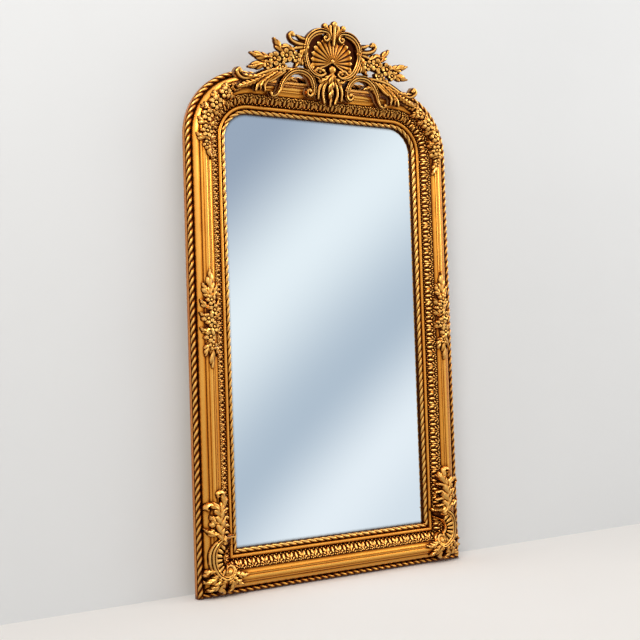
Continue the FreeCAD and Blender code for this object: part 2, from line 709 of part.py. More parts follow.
def corner_cartouche():
    """Right foot corner: beaded C-scroll with a volute, a tall leaf up the stile, leaves along the rail."""
    plane = upright_plane(SIGHT_X, SIGHT_FOOT)
    unit = CARTOUCHE_HEIGHT / 310.0
    high = ORNAMENT_CROWN
    back = -ORNAMENT_BASE

    def piece(kind, path, crown):
        return kind(plane, path, crown, back, unit)

    solids = [
        piece(scroll, [(26, 47, 6), (54, 45, 7), (80, 33, 8), (97, 9, 8), (100, -20, 8), (93, -48, 8),
                       (77, -69, 8), (55, -79, 8), (36, -71, 8), (30, -54, 7), (41, -42, 6), (55, -47, 5),
                       (54, -58, 4)], high),
        piece(scroll, [(32, 21, 4), (52, 11, 4), (64, -8, 4), (62, -28, 4), (52, -41, 4)], high),
        piece(scroll, [(40, 33, 12), (64, 22, 13), (80, -2, 14), (80, -28, 14), (68, -54, 13)], high * 0.5),
        piece(leaf, [(66, 40, 8), (78, 68, 10), (74, 98, 13), (76, 126, 12), (88, 146, 9), (104, 153, 7),
                     (113, 145, 5), (106, 137, 3)], high),
        piece(leaf, [(75, 118, 9), (64, 146, 9), (58, 170, 8), (66, 187, 6), (78, 184, 4), (78, 175, 2.5)], high),
    ]
    centre_x, centre_z, arc_radius = 36.0, -18.0, 44.0
    for k in range(7):
        angle = math.radians(52 - 18 * k)
        bead_x = centre_x + arc_radius * math.cos(angle)
        bead_z = centre_z + arc_radius * math.sin(angle)
        solids.append(flower(plane, bead_x, bead_z, 7, high * 0.95, back, unit, 3))
    for knob_x, knob_z, knob_radius in ((94, 112, 9), (95, 92, 9), (95, -107, 9), (52, -110, 9)):
        solids.append(flower(plane, knob_x, knob_z, knob_radius, high * 0.9, back, unit, 3))
    for path in (
        [(80, 62, 7), (100, 66, 8), (118, 80, 3)],
        [(80, 94, 6), (90, 102, 7), (100, 118, 3)],
        [(72, 78, 6), (54, 84, 8), (40, 80, 3)],
        [(72, 100, 6), (53, 110, 8), (40, 108, 3)],
        [(73, 122, 6), (54, 134, 8), (43, 136, 3)],
        [(64, 148, 5), (50, 158, 6), (42, 166, 3)],
        [(92, -58, 7), (106, -62, 8), (124, -55, 3)],
        [(84, -70, 7), (102, -85, 9), (122, -88, 3)],
        [(68, -80, 7), (80, -98, 9), (94, -116, 4)],
        [(54, -80, 7), (52, -102, 9), (58, -122, 4)],
        [(42, -76, 7), (24, -94, 9), (4, -106, 3)],
        [(34, -64, 7), (8, -74, 9), (-16, -72, 3)],
    ):
        solids.append(piece(relief_leaf, path, high * 0.85))
    return joined(solids)


def side_bouquet():
    """Bunch of flowers and leaves half way up the right stile, with a bud that points down."""
    plane = upright_plane(SIGHT_X + ORNAMENT_W, BOUQUET_CENTRE_Z + SIGHT_FOOT)
    unit = BOUQUET_HEIGHT / 302.0
    high = ORNAMENT_CROWN
    back = -ORNAMENT_BASE
    solids = [
        relief_leaf(plane, [(0, 45, 8), (0, 105, 13), (1, 152, 3)], high * 0.8, back, unit),
        relief_leaf(plane, [(0, 62, 9), (0, -8, 12), (0, -76, 9)], high * 0.6, back, unit),
        relief_leaf(plane, [(0, -70, 8), (0, -110, 12), (1, -150, 3)], high * 0.8, back, unit),
    ]
    for side in (-1, 1):
        solids.append(relief_leaf(plane, [(side * 4, 50, 6), (side * 17, 80, 8), (side * 25, 106, 2.5)],
                                  high * 0.7, back, unit))
        solids.append(relief_leaf(plane, [(side * 6, 8, 6), (side * 24, 14, 8), (side * 35, 26, 2.5)],
                                  high * 0.7, back, unit))
        solids.append(relief_leaf(plane, [(side * 4, -22, 6), (side * 20, -28, 8), (side * 32, -22, 2.5)],
                                  high * 0.7, back, unit))
        solids.append(relief_leaf(plane, [(side * 4, -66, 6), (side * 14, -88, 8), (side * 19, -108, 2.5)],
                                  high * 0.7, back, unit))
    for x, z, radius in ((0, 56, 16), (-9, 28, 14), (11, 8, 15), (-6, -20, 15), (6, -46, 14), (-1, -70, 15)):
        solids.append(flower(plane, x, z, radius, high, back, unit))
    return joined(solids)


def corner_garland():
    """Flowers and leaves laid round the right shoulder on the ridge."""
    plane = upright_plane(SPRING_X, SPRING_Z)
    high = ORNAMENT_CROWN
    back = -ORNAMENT_BASE
    radius = SHOULDER_RADIUS + ORNAMENT_W
    unit = GARLAND_WIDTH / 46.0

    def along(angle, out, half):
        turn = math.radians(angle)
        reach = radius + unit * out
        return reach * math.cos(turn), reach * math.sin(turn), unit * half

    solids = [relief_leaf(plane, [along(angle, 0, 9) for angle in (-14, 8, 30, 52, 72)], high * 0.5, back)]
    for k, bloom in enumerate((11, 14, 14, 15, 14, 12)):
        x, z, size = along(-12 + 15.6 * k, -5 if k % 2 else 4, bloom)
        solids.append(flower(plane, x, z, size, high * 0.85, back))
    for k in range(5):
        for out in (-24, 22):
            base = -4 + 15.6 * k
            blade = [along(base, 0, 6), along(base + 1, out * 0.6, 8), along(base + 5, out, 2.5)]
            solids.append(relief_leaf(plane, blade, high * 0.6, back))
    for first, middle, last in ((-10, -18, -25), (64, 71, 78)):
        blade = [along(first, 0, 8), along(middle, 0, 9), along(last, 0, 2.5)]
        solids.append(relief_leaf(plane, blade, high * 0.6, back))
    return joined(solids)


# Rear hangers

RING_Y = BACK_Y + STRAP_THICKNESS + RING_STRAP_GAP + RING_WIRE_RADIUS
HANGER_X = SIGHT_X + HANGER_W
HANGER_Z = SPRING_Z - HANGER_DROP


def hanger_strap():
    """Steel strap whose top is rolled into a barrel round the ring's bar."""
    half = STRAP_WIDTH / 2
    plate = box_between((HANGER_X - half, HANGER_X + half), (BACK_Y, BACK_Y + STRAP_THICKNESS),
                        (HANGER_Z - STRAP_LENGTH, HANGER_Z))
    start = Vector(HANGER_X - half, RING_Y, HANGER_Z)
    bore = RING_WIRE_RADIUS + RING_CLEARANCE
    barrel = Part.makeCylinder(bore + STRAP_THICKNESS, STRAP_WIDTH, start, Vector(1, 0, 0))
    strap = plate.fuse(barrel).cut(Part.makeCylinder(bore, STRAP_WIDTH, start, Vector(1, 0, 0)))
    return largest(strap.cut([screw(*place, SCREW_CLEARANCE) for place in strap_screw_places()]))


def d_ring():
    """Round wire bent to a D; its straight bar turns in the barrel."""
    half = RING_WIDTH / 2
    top_left = Vector(HANGER_X - half, RING_Y, HANGER_Z)
    top_right = Vector(HANGER_X + half, RING_Y, HANGER_Z)
    shoulder = HANGER_Z - (RING_DROP - half)
    low_left = Vector(HANGER_X - half, RING_Y, shoulder)
    low_right = Vector(HANGER_X + half, RING_Y, shoulder)
    wire = RING_WIRE_RADIUS
    bar = Part.makeCylinder(wire, RING_WIDTH, top_left, Vector(1, 0, 0))
    legs = [Part.makeCylinder(wire, HANGER_Z - shoulder, p, Vector(0, 0, 1)) for p in (low_left, low_right)]
    corners = [Part.makeSphere(wire, p) for p in (top_left, top_right)]
    circle = Part.Face(Part.Wire(Part.makeCircle(wire, low_right, Vector(0, 0, 1))))
    bow = circle.revolve(Vector(HANGER_X, RING_Y, shoulder), Vector(0, 1, 0), 180)
    return largest(joined([bar] + legs + corners + [bow]))


def screw(foot, direction, grow=0.0):
    """Pan-headed wood screw; foot is the middle of the seat under its head."""
    shank = Part.makeCylinder(SCREW_RADIUS + grow, SCREW_LENGTH + grow, foot, direction)
    if grow:
        return shank
    head_top = foot - direction * SCREW_HEAD_HEIGHT
    head = Part.makeCylinder(SCREW_HEAD_RADIUS, SCREW_HEAD_HEIGHT, head_top, direction)
    return largest(shank.fuse(head))


def strap_screw_places():
    seat = BACK_Y + STRAP_THICKNESS
    heights = (HANGER_Z - STRAP_SCREW_DROP, HANGER_Z - STRAP_SCREW_DROP - STRAP_SCREW_PITCH)
    return [(Vector(side * HANGER_X, seat, z), Vector(0, -1, 0)) for side in (-1, 1) for z in heights]


def bracket_screw_places():
    """Driven down through the bracket's foot into the top edge of the frame."""
    seat = OUTER_TOP + BRACKET_SCREW_GRIP
    y = BACK_Y - (BACK_BEVEL + OUTER_WALL_DEPTH) / 2
    return [(Vector(side * BRACKET_WIDTH / 4, y, seat), Vector(0, 0, -1)) for side in (-1, 1)]


def bracket_screw_wells():
    """Clearance for the shanks, and wells that let the heads in from above."""
    cuts = []
    for foot, direction in bracket_screw_places():
        cuts.append(screw(foot, direction, SCREW_CLEARANCE))
        well_radius = SCREW_HEAD_RADIUS + SCREW_CLEARANCE
        cuts.append(Part.makeCylinder(well_radius, 2 * BRACKET_FOOT, foot, Vector(0, 0, 1)))
    return cuts


# Frame members, drilled for dowels, pins and screws

members = frame_runs(moulding_outline())
dowels = [dowel(*place) for place in dowel_places()]
holes = [dowel(centre, direction, DOWEL_CLEARANCE) for centre, direction in dowel_places()]
holes += strip_pins(PIN_CLEARANCE).Solids
screw_places = strap_screw_places() + bracket_screw_places()
screw_holes = [screw(foot, direction, SCREW_CLEARANCE) for foot, direction in screw_places]
drilling = Part.makeCompound(holes + screw_holes)
for member_name, run in (("left_stile", "left"), ("right_stile", "right"), ("bottom_rail", "bottom"),
                         ("top_rail", "top"), ("top_left_shoulder", "shoulder_left"),
                         ("top_right_shoulder", "shoulder_right")):
    export(member_name, largest(members[run].cut(drilling)))
export("joint_dowels", Part.makeCompound(dowels))

# Applied strips: two ropes and the leaf band, each in four lengths
for strip_name, outline in (
        ("outer_rope", rope_outline(MOULDING_WIDTH - OUTER_LEDGE / 2, OUTER_WALL_DEPTH, OUTER_ROPE_RADIUS)),
        ("inner_rope", rope_outline(INNER_ROPE_W, ROPE_SEAT, INNER_ROPE_RADIUS)),
        ("leaf_band", leaf_band_outline())):
    runs = frame_runs(outline)
    arch = largest(runs["top"].fuse([runs["shoulder_left"], runs["shoulder_right"]]))
    export(strip_name + "_left", runs["left"])
    export(strip_name + "_right", runs["right"])
    export(strip_name + "_bottom", runs["bottom"])
    export(strip_name + "_top", arch)

# Glass package
export("mirror_glass", mirror_glass())
export("setting_blocks", setting_blocks())
export("backing_board", backing_board())
pin_holes = strip_pins(PIN_CLEARANCE)
for place, strip in holding_strips().items():
    export("holding_strip_" + place, largest(strip.cut(pin_holes)))
export("strip_pins", strip_pins())

# Crest: each piece is trimmed against the ones it butts against
shell = crest_shell()
surround = largest(shell_surround().cut(shell))
surround_left = mirrored(surround)
finial = largest(crest_finial().cut(shell.fuse([surround, surround_left])))
pendant_seat = shell.fuse([surround, surround_left])
pendant = largest(seated([crest_pendant()]).cut(pendant_seat))
wing = largest(seated(crest_scroll()).cut(surround.fuse(pendant)))
wing_left = mirrored(wing)
spray_right = largest(flower_spray(0.0).cut(surround.fuse(wing)))
spray_left = largest(mirrored(flower_spray(LEFT_SPRAY_DROOP)).cut(surround_left.fuse(wing_left)))
export("crest_shell", shell)
export("shell_surround_right", surround)
export("shell_surround_left", surround_left)
export("crest_finial", finial)
export("crest_pendant", pendant)
export("crest_scroll_right", wing)
export("crest_scroll_left", wing_left)
export("flower_spray_right", spray_right)
export("flower_spray_left", spray_left)
bracket = crest_bracket().cut(bracket_screw_wells() + [shell, surround, surround_left, pendant, finial])
export("crest_bracket", largest(bracket))
export("bracket_screws", Part.makeCompound([screw(*place) for place in bracket_screw_places()]))

# Corner, side and shoulder ornament
export_pair("corner_cartouche", corner_cartouche())
export_pair("side_bouquet", side_bouquet())
export_pair("corner_garland", largest(corner_garland().cut(wing)))

# Hangers
export_pair("hanger_strap", hanger_strap())
export_pair("d_ring", d_ring())
export("hanger_screws", Part.makeCompound([screw(*place) for place in strap_screw_places()]))
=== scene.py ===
import bpy
import math
import numpy as np
from mathutils import Matrix, Vector


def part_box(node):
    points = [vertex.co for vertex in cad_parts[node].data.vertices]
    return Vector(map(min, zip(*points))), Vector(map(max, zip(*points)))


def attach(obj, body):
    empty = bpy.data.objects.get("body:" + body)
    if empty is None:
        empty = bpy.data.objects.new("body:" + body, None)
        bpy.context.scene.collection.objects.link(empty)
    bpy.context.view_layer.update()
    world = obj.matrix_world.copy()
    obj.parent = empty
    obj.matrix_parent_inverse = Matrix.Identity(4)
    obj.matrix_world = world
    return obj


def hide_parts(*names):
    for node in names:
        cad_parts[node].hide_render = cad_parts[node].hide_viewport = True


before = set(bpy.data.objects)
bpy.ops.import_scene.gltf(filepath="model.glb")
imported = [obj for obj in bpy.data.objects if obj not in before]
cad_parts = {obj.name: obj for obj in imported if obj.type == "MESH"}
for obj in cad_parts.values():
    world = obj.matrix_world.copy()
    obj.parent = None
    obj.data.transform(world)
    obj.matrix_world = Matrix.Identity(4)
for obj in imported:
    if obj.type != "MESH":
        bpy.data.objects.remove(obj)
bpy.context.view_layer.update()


# The frame: four straight lengths and two turned shoulders of one softwood moulding, coated with gesso and
# covered with gold leaf, toned and painted dark as shade in the quirks. The foot corners are mitred; the back and
# the rabbet are left as bare wood.
SIGHT_X, SIGHT_FOOT, SIGHT_TOP = 366.0, 140.0, 1546.0
SPRING_X, SPRING_Z, SHOULDER = 279.0, 1459.0, 87.0
BACK_Y = 1000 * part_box("left_stile")[1][1]
RIDGE = 69.0


def arc_points(start, middle, end, count):
    """Points of the circle through three points of the section, both ends included."""
    (ax, ay), (bx, by), (cx, cy) = start, middle, end
    d = 2 * (ax * (by - cy) + bx * (cy - ay) + cx * (ay - by))
    ux = ((ax * ax + ay * ay) * (by - cy) + (bx * bx + by * by) * (cy - ay) + (cx * cx + cy * cy) * (ay - by)) / d
    uy = ((ax * ax + ay * ay) * (cx - bx) + (bx * bx + by * by) * (ax - cx) + (cx * cx + cy * cy) * (bx - ax)) / d
    radius = math.hypot(ax - ux, ay - uy)
    a0 = math.atan2(ay - uy, ax - ux)
    a1 = math.atan2(by - uy, bx - ux)
    a2 = math.atan2(cy - uy, cx - ux)
    turn = (a2 - a0) % (2 * math.pi)
    if (a1 - a0) % (2 * math.pi) > turn:
        turn -= 2 * math.pi
    steps = [a0 + turn * k / (count - 1) for k in range(count)]
    return [(ux + radius * math.cos(a), uy + radius * math.sin(a)) for a in steps]


def crowned(a, b, rise, count=9):
    """A gently rounded band of the section from a to b; a hollow has a negative rise."""
    run, lift = b[0] - a[0], b[1] - a[1]
    length = math.hypot(run, lift)
    middle = ((a[0] + b[0]) / 2 - rise * lift / length, (a[1] + b[1]) / 2 + rise * run / length)
    return arc_points(a, middle, b, count)


def toned_and_shaded_ends(points, first, last):
    """A band of the section whose darkening, toning with painted shade, gathers at its two edges and fades over its
    crown.
    """
    fade, n = 1.9, len(points) - 1
    return [(w, h, first * math.exp(-k / fade) + last * math.exp((k - n) / fade)) for k, (w, h) in enumerate(points)]


# Each point of the section is its way out from the sight edge, its height over the back and its darkening, which is
# toning with painted shade and is heaviest in the quirks.
section = [(12, 0, 0), (12, 19, 0), (0, 19, 1.5), (0, 25, 1.3), (14, 25, 1.3), (14, 30.5, 1.2)]
section += toned_and_shaded_ends(arc_points((15.5, 32), (22, 38.5), (28.5, 32), 11), 1.0, 1.0)
section += [(31, 30.5, 1.3), (62, 56.6, 1.3), (59.75, 59.3, 1.0)]
section += toned_and_shaded_ends(crowned((61.2, 60.2), (72.75, 65.5), -1.6), 0.7, 0.6)
section += [(73.4, 65.0, 1.1), (73.9, 66.2, 0.15), (77.6, 66.7, 0.15), (78.25, 66.3, 1.1)]
section += toned_and_shaded_ends(crowned((79.0, 66.9), (93.1, 66.6), 2.4, 15), 0.7, 0.9)
section += toned_and_shaded_ends(crowned((93.6, 66.0), (100.2, 60.4), 1.2, 9), 0.7, 0.8)
section += [(100.4, 58.9, 1.3), (101.1, 58.2, 1.3)]
section += toned_and_shaded_ends(crowned((101.6, 58.5), (120.0, 41.2), 2.8, 15), 0.8, 0.8)
section += [(120.5, 39.8, 0.9), (120.5, 32, 1.3), (139.2, 32, 1.0), (140, 31.2, 0.4), (140, 14, 0.6), (126, 0, 0.8)]
sec_w = np.array([p[0] for p in section])
sec_y = BACK_Y - np.array([p[1] for p in section])
sec_hollow = np.array([p[2] for p in section])


CREASE = math.radians(42)


def new_piece(name, verts, faces, hollow):
    """Mesh object from points in millimetres; hollow says how deep in shadow and old tone each point lies."""
    mesh = bpy.data.meshes.new(name)
    mesh.from_pydata((np.asarray(verts) * 0.001).tolist(), [], faces)
    mesh.attributes.new("hollow", "FLOAT", "POINT").data.foreach_set("value", np.asarray(hollow, dtype=np.float32))
    mesh.polygons.foreach_set("use_smooth", [True] * len(mesh.polygons))
    mesh.set_sharp_from_angle(angle=CREASE)
    mesh.validate()
    piece = bpy.data.objects.new(name, mesh)
    bpy.context.scene.collection.objects.link(piece)
    return piece


def fix(piece, node, finish, *coats):
    """A piece rides on the frame in the place of its node, with its coats of material."""
    for coat in coats:
        piece.data.materials.append(coat)
    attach(piece, "frame")
    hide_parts(node)


def feed(tree, node, sockets):
    """Fills the sockets of a node, each with a number, a colour or what comes out of another node."""
    for socket, value in sockets.items():
        if isinstance(value, bpy.types.NodeSocket):
            tree.links.new(value, node.inputs[socket])
        else:
            node.inputs[socket].default_value = value


def made(tree, kind, out, sockets={}, **options):
    """Adds a node with its options and filled sockets, and gives what comes out of it."""
    node = tree.nodes.new("ShaderNode" + kind)
    for option, value in options.items():
        setattr(node, option, value)
    feed(tree, node, sockets)
    return node.outputs[out]


def graded(tree, share, *stops, interpolation="LINEAR"):
    """Colour that goes from stop to stop with the share; a stop is its place and its colour."""
    node = tree.nodes.new("ShaderNodeValToRGB")
    ramp = node.color_ramp
    ramp.interpolation = interpolation
    for k, (position, colour) in ((0, stops[0]), (1, stops[-1])):
        ramp.elements[k].position, ramp.elements[k].color = position, (*colour, 1)
    for position, colour in stops[1:-1]:
        ramp.elements.new(position).color = (*colour, 1)
    tree.links.new(share, node.inputs["Fac"])
    return node.outputs["Color"]


def new_coat(name):
    coat = bpy.data.materials.new(name)
    coat.use_nodes = True
    return coat, coat.node_tree, coat.node_tree.nodes["Principled BSDF"]


def gilding(name, leaf, deep, rub_and_highlight, tone_and_shade, hollow_gain):
    """Gold leaf over red ground: rubbed bright where it is raised, with a painted highlight there, and toned with
    umber in the hollows, where painted shade from ambient occlusion and the hollow attribute darkens it further.
    """
    coat, tree, shader = new_coat(name)
    place = made(tree, "TexCoord", "Object")
    cloud = made(tree, "TexNoise", "Fac", {"Vector": place, "Scale": 11.0, "Detail": 5.0})
    fleck = made(tree, "TexNoise", "Fac", {"Vector": place, "Scale": 160.0, "Detail": 3.0})
    wear = graded(tree, cloud, (0.34, deep), (0.62, leaf))
    depth = made(tree, "Attribute", "Fac", attribute_name="hollow")
    # Painted shade: ambient occlusion darkens creases, recesses and the places where pieces meet.
    shade = made(tree, "AmbientOcclusion", "AO", {"Distance": 0.016}, samples=6)
    closed = made(tree, "Math", "Value", {0: shade, 1: -1.35, 2: 1.18}, operation="MULTIPLY_ADD")
    gathered = made(tree, "Math", "Value", {0: depth, 1: hollow_gain, 2: closed}, operation="MULTIPLY_ADD")
    flecked = made(tree, "Math", "Value", {0: fleck, 1: 0.30, 2: gathered}, operation="MULTIPLY_ADD")
    toned_and_shaded = made(tree, "MapRange", "Result", {"Value": flecked, "From Min": 0.18, "From Max": 0.90},
                 interpolation_type="SMOOTHSTEP")
    # Painted highlight: the raised, unoccluded parts take the rubbed colour.
    raised = made(tree, "MapRange", "Result", {"Value": gathered, "From Min": 0.22, "From Max": -0.14},
                  interpolation_type="SMOOTHSTEP")
    bright = made(tree, "Mix", "Result", {"Factor": raised, "A": wear, "B": (*rub_and_highlight, 1)}, data_type="RGBA")
    colour = made(tree, "Mix", "Result", {"Factor": toned_and_shaded, "A": bright, "B": (*tone_and_shade, 1)}, data_type="RGBA")
    dull = made(tree, "MapRange", "Result",
                {"Value": cloud, "From Min": 0.3, "From Max": 0.7, "To Min": 0.19, "To Max": 0.32})
    metal = made(tree, "MapRange", "Result", {"Value": toned_and_shaded, "To Min": 0.90, "To Max": 0.82})
    bump = made(tree, "Bump", "Normal", {"Height": fleck, "Strength": 0.12, "Distance": 0.0008})
    feed(tree, shader, {"Base Color": colour, "Roughness": dull, "Metallic": metal, "Normal": bump,
                        "Coat Weight": 0.05, "Coat Roughness": 0.22, "Specular IOR Level": 0.15})
    return coat


def timber(name, early, late, ring_scale, roughness):
    """Plain wood: bands of grain drawn out along the length, with fine pores."""
    coat, tree, shader = new_coat(name)
    place = made(tree, "TexCoord", "Object")
    drawn_out = made(tree, "Mapping", "Vector", {"Vector": place, "Scale": (1.0, 1.0, 0.08)})
    grain = made(tree, "TexNoise", "Fac",
                 {"Vector": drawn_out, "Scale": ring_scale, "Detail": 6.0, "Distortion": 0.6})
    colour = graded(tree, grain, (0.35, late), (0.65, early))
    bump = made(tree, "Bump", "Normal", {"Height": grain, "Strength": 0.15, "Distance": 0.0005})
    feed(tree, shader, {"Base Color": colour, "Roughness": roughness, "Normal": bump})
    return coat


moulding_gilt = gilding("moulding_gilt", leaf=(1.0, 0.375, 0.034), deep=(0.90, 0.275, 0.017),
                        rub_and_highlight=(1.0, 0.49, 0.095), tone_and_shade=(0.17, 0.032, 0.001), hollow_gain=0.95)
bare_wood = timber("bare_wood", early=(0.52, 0.36, 0.20), late=(0.38, 0.24, 0.12), ring_scale=34.0, roughness=0.7)


def moulding_length(node, stations):
    """One length of the moulding; stations are functions that place the section's points.
    The rabbet and the back, at both ends of the section, and the cut ends are bare."""
    count = len(section)
    verts = []
    for place in stations:
        x, z = place(sec_w)
        verts.append(np.column_stack([x, sec_y, z]))
    verts = np.concatenate(verts)
    faces = []
    bare = []
    for k in range(len(stations) - 1):
        a, b = k * count, (k + 1) * count
        for i in range(count):
            j = (i + 1) % count
            faces.append((a + i, a + j, b + j, b + i))
            bare.append(int(i < 2 or i >= count - 2))
    faces.append(tuple(range(count - 1, -1, -1)))
    faces.append(tuple(range((len(stations) - 1) * count, len(stations) * count)))
    bare += [1, 1]
    piece = new_piece("gilt_" + node, verts, faces, np.tile(sec_hollow, len(stations)))
    fix(piece, node, "gilt_moulding", moulding_gilt, bare_wood)
    piece.data.polygons.foreach_set("material_index", bare)


def mitred(side):
    return lambda w: (side * (SIGHT_X + w), SIGHT_FOOT - w)


def squared(side):
    return lambda w: (side * (SIGHT_X + w), SPRING_Z + 0 * w)


def headed(side):
    return lambda w: (side * SPRING_X + 0 * w, SIGHT_TOP + w)


def turned(side, degrees):
    a = math.radians(degrees)
    return lambda w: (side * (SPRING_X + (SHOULDER + w) * math.cos(a)), SPRING_Z + (SHOULDER + w) * math.sin(a))


TURN_STEPS = 30
turn_angles = [90 * k / TURN_STEPS for k in range(TURN_STEPS + 1)]
moulding_length("left_stile", [mitred(-1), squared(-1)])
moulding_length("right_stile", [squared(1), mitred(1)])
moulding_length("bottom_rail", [mitred(1), mitred(-1)])
moulding_length("top_rail", [headed(-1), headed(1)])
moulding_length("top_left_shoulder", [turned(-1, angle) for angle in turn_angles])
moulding_length("top_right_shoulder", [turned(1, 90 - angle) for angle in turn_angles])


# The ropes: two twisted cords, one on the outer ledge and one at the sight edge. Each is turned wood, planed
# flat behind, carved into strands, gilded, and glued on in four lengths that meet at the foot mitres.
strip_gilt = gilding("strip_gilt", leaf=(0.98, 0.40, 0.046), deep=(0.84, 0.28, 0.022),
                     rub_and_highlight=(1.0, 0.58, 0.16), tone_and_shade=(0.075, 0.012, 0.001), hollow_gain=1.1)
RUNS = ("left", "top", "right", "bottom")


def way_round(run, t, w, line):
    """Place of a point t along a run of the frame, w out from the sight edge; line is where t is measured."""
    turn = (SHOULDER + line) * math.pi / 2
    if run == "left":
        return -SIGHT_X - w, np.maximum(SIGHT_FOOT - line + t, SIGHT_FOOT - w)
    if run == "right":
        return SIGHT_X + w, np.maximum(SPRING_Z - t, SIGHT_FOOT - w)
    if run == "bottom":
        return np.clip(SIGHT_X + line - t, -SIGHT_X - w, SIGHT_X + w), SIGHT_FOOT - w + 0 * t
    straight = 2 * SPRING_X
    a = np.where(t < turn, math.pi - t / turn * math.pi / 2,
                 np.where(t < turn + straight, math.pi / 2, math.pi / 2 - (t - turn - straight) / turn * math.pi / 2))
    centre = np.clip(-SPRING_X + t - turn, -SPRING_X, SPRING_X)
    return centre + (SHOULDER + w) * np.cos(a), SPRING_Z + (SHOULDER + w) * np.sin(a)


def steps_along(run, line, overrun, step):
    """Steps along a run of the frame and the run's true length; a mitred end overruns, to be cut at the mitre."""
    length = SPRING_Z - SIGHT_FOOT + line
    if run == "bottom":
        length = 2 * (SIGHT_X + line)
    if run == "top":
        length = 2 * SPRING_X + (SHOULDER + line) * math.pi
    first = -overrun if run in ("left", "bottom") else 0.0
    last = length + (overrun if run in ("right", "bottom") else 0.0)
    return np.linspace(first, last, int((last - first) / step) + 1), length


def closed_strip(rows, columns):
    """Faces of a strip whose section is a closed ring of points, with both ends closed."""
    faces = []
    for k in range(rows - 1):
        a, b = k * columns, (k + 1) * columns
        for i in range(columns):
            j = (i + 1) % columns
            faces.append((a + i, b + i, b + j, a + j))
    faces.append(tuple(range(columns)))
    faces.append(tuple(range(rows * columns - 1, (rows - 1) * columns - 1, -1)))
    return faces


def rope(kind, line, seat, radius, pitch, twist, cut, overrun, tone_and_shade):
    """Four lengths of one rope whose strands keep the same twist all the way round."""
    theta = np.radians(np.linspace(-123, 123, 17))
    middle = 0.55 * radius
    begin = 0.0
    for run in RUNS:
        t, length = steps_along(run, line, overrun, step=1.8)
        T, A = np.meshgrid(t, theta, indexing="ij")
        strand = np.abs(np.sin((twist * A + 2 * math.pi * (T + begin) / pitch) / 2)) ** 0.85
        reach = radius * (1 - cut + cut * strand)
        w = line + reach * np.sin(A)
        y = BACK_Y - seat - np.maximum(middle + reach * np.cos(A), 0.0)
        x, z = way_round(run, T, w, line)
        verts = np.column_stack([x.ravel(), y.ravel(), z.ravel()])
        # Painted shade with toning: the grooves between the strands are darkened.
        hollow = np.clip(tone_and_shade - 1.60 * strand, 0, 1.2)
        piece = new_piece("carved_" + kind + "_" + run, verts, closed_strip(len(t), len(theta)), hollow.ravel())
        fix(piece, kind + "_" + run, "gilt_strip", strip_gilt)
        begin += length


rope("outer_rope", line=130.25, seat=32.0, radius=8.6, pitch=25.0, twist=2.6, cut=0.36, overrun=9.0, tone_and_shade=1.60)
rope("inner_rope", line=7.0, seat=25.0, radius=6.8, pitch=26.0, twist=2.3, cut=0.31, overrun=7.0, tone_and_shade=1.15)


# The leaf bands: strips of carved leaf and tongue on the slope between the bead and the hollow. Each repeat is
# a parted leaf with a middle rib and a rounded tongue, with knobs along both edges. Carved in long strips,
# gilded, and glued on in four lengths; the ground between the leaves is painted dark, as shade with toning.
LEAF_FOOT = (31.0, 30.5)
LEAF_ALONG = (0.765, 0.644)
LEAF_LENGTH, LEAF_LINE, LEAF_PITCH = 40.5, 46.0, 46.0
LEAF_CROWN, LEAF_GROUND, LEAF_MARGIN = 6.0, 0.6, 0.2


def dome(q):
    return np.sqrt(np.clip(1 - q ** 2, 0, 1))


def leaf_relief(t, e):
    """Height and darkening of the carved leaves, at t along the band and e up from its foot edge; the darkening is
    painted shade with toning, deepest on the low ground.
    """
    x = np.abs(((t / LEAF_PITCH) % 1.0 - 0.5) * LEAF_PITCH)
    relief = np.zeros(np.shape(t))
    for middle, up, lean, reach, half in (
        (7.4, 14.0, -10, 12.5, 5.0), (23.0, 17.0, 0, 14.5, 5.2), (0.0, 21.0, 0, 16.0, 2.8),
        (11.0, 27.5, -52, 7.0, 3.8), (4.8, 34.0, 0, 3.6, 3.4), (12.0, 36.6, 0, 3.4, 3.6),
        (18.6, 34.4, 0, 3.6, 3.4), (15.4, 4.6, 0, 3.4, 2.8), (0.0, 3.6, 0, 3.0, 2.8),
    ):
        a = math.radians(lean)
        q = np.hypot(((x - middle) * math.sin(a) + (e - up) * math.cos(a)) / reach,
                     ((x - middle) * math.cos(a) - (e - up) * math.sin(a)) / half)
        relief = np.maximum(relief, LEAF_CROWN * dome(q))
    return LEAF_GROUND + relief, np.clip(1.15 - relief / 3.2, 0, 1.1)


begin = 0.0
for run in RUNS:
    t, length = steps_along(run, LEAF_LINE, overrun=16.0, step=1.3)
    e = np.linspace(LEAF_MARGIN, LEAF_LENGTH - LEAF_MARGIN, 31)
    T, E = np.meshgrid(t, e, indexing="ij")
    high, hollow = leaf_relief(T + begin, E)
    E = np.concatenate([E, E[:, -1:], E[:, :1]], axis=1)
    T = np.concatenate([T, T[:, -1:], T[:, :1]], axis=1)
    high = np.concatenate([high, 0 * high[:, :2]], axis=1)
    hollow = np.concatenate([hollow, 0 * hollow[:, :2] + 1], axis=1)
    w = LEAF_FOOT[0] + LEAF_ALONG[0] * E - LEAF_ALONG[1] * high
    y = BACK_Y - (LEAF_FOOT[1] + LEAF_ALONG[1] * E + LEAF_ALONG[0] * high)
    x, z = way_round(run, T, w, LEAF_LINE)
    verts = np.column_stack([x.ravel(), y.ravel(), z.ravel()])
    band = new_piece("carved_leaf_band_" + run, verts, closed_strip(len(t), E.shape[1]), hollow.ravel())
    fix(band, "leaf_band_" + run, "gilt_strip", strip_gilt)
    begin += length


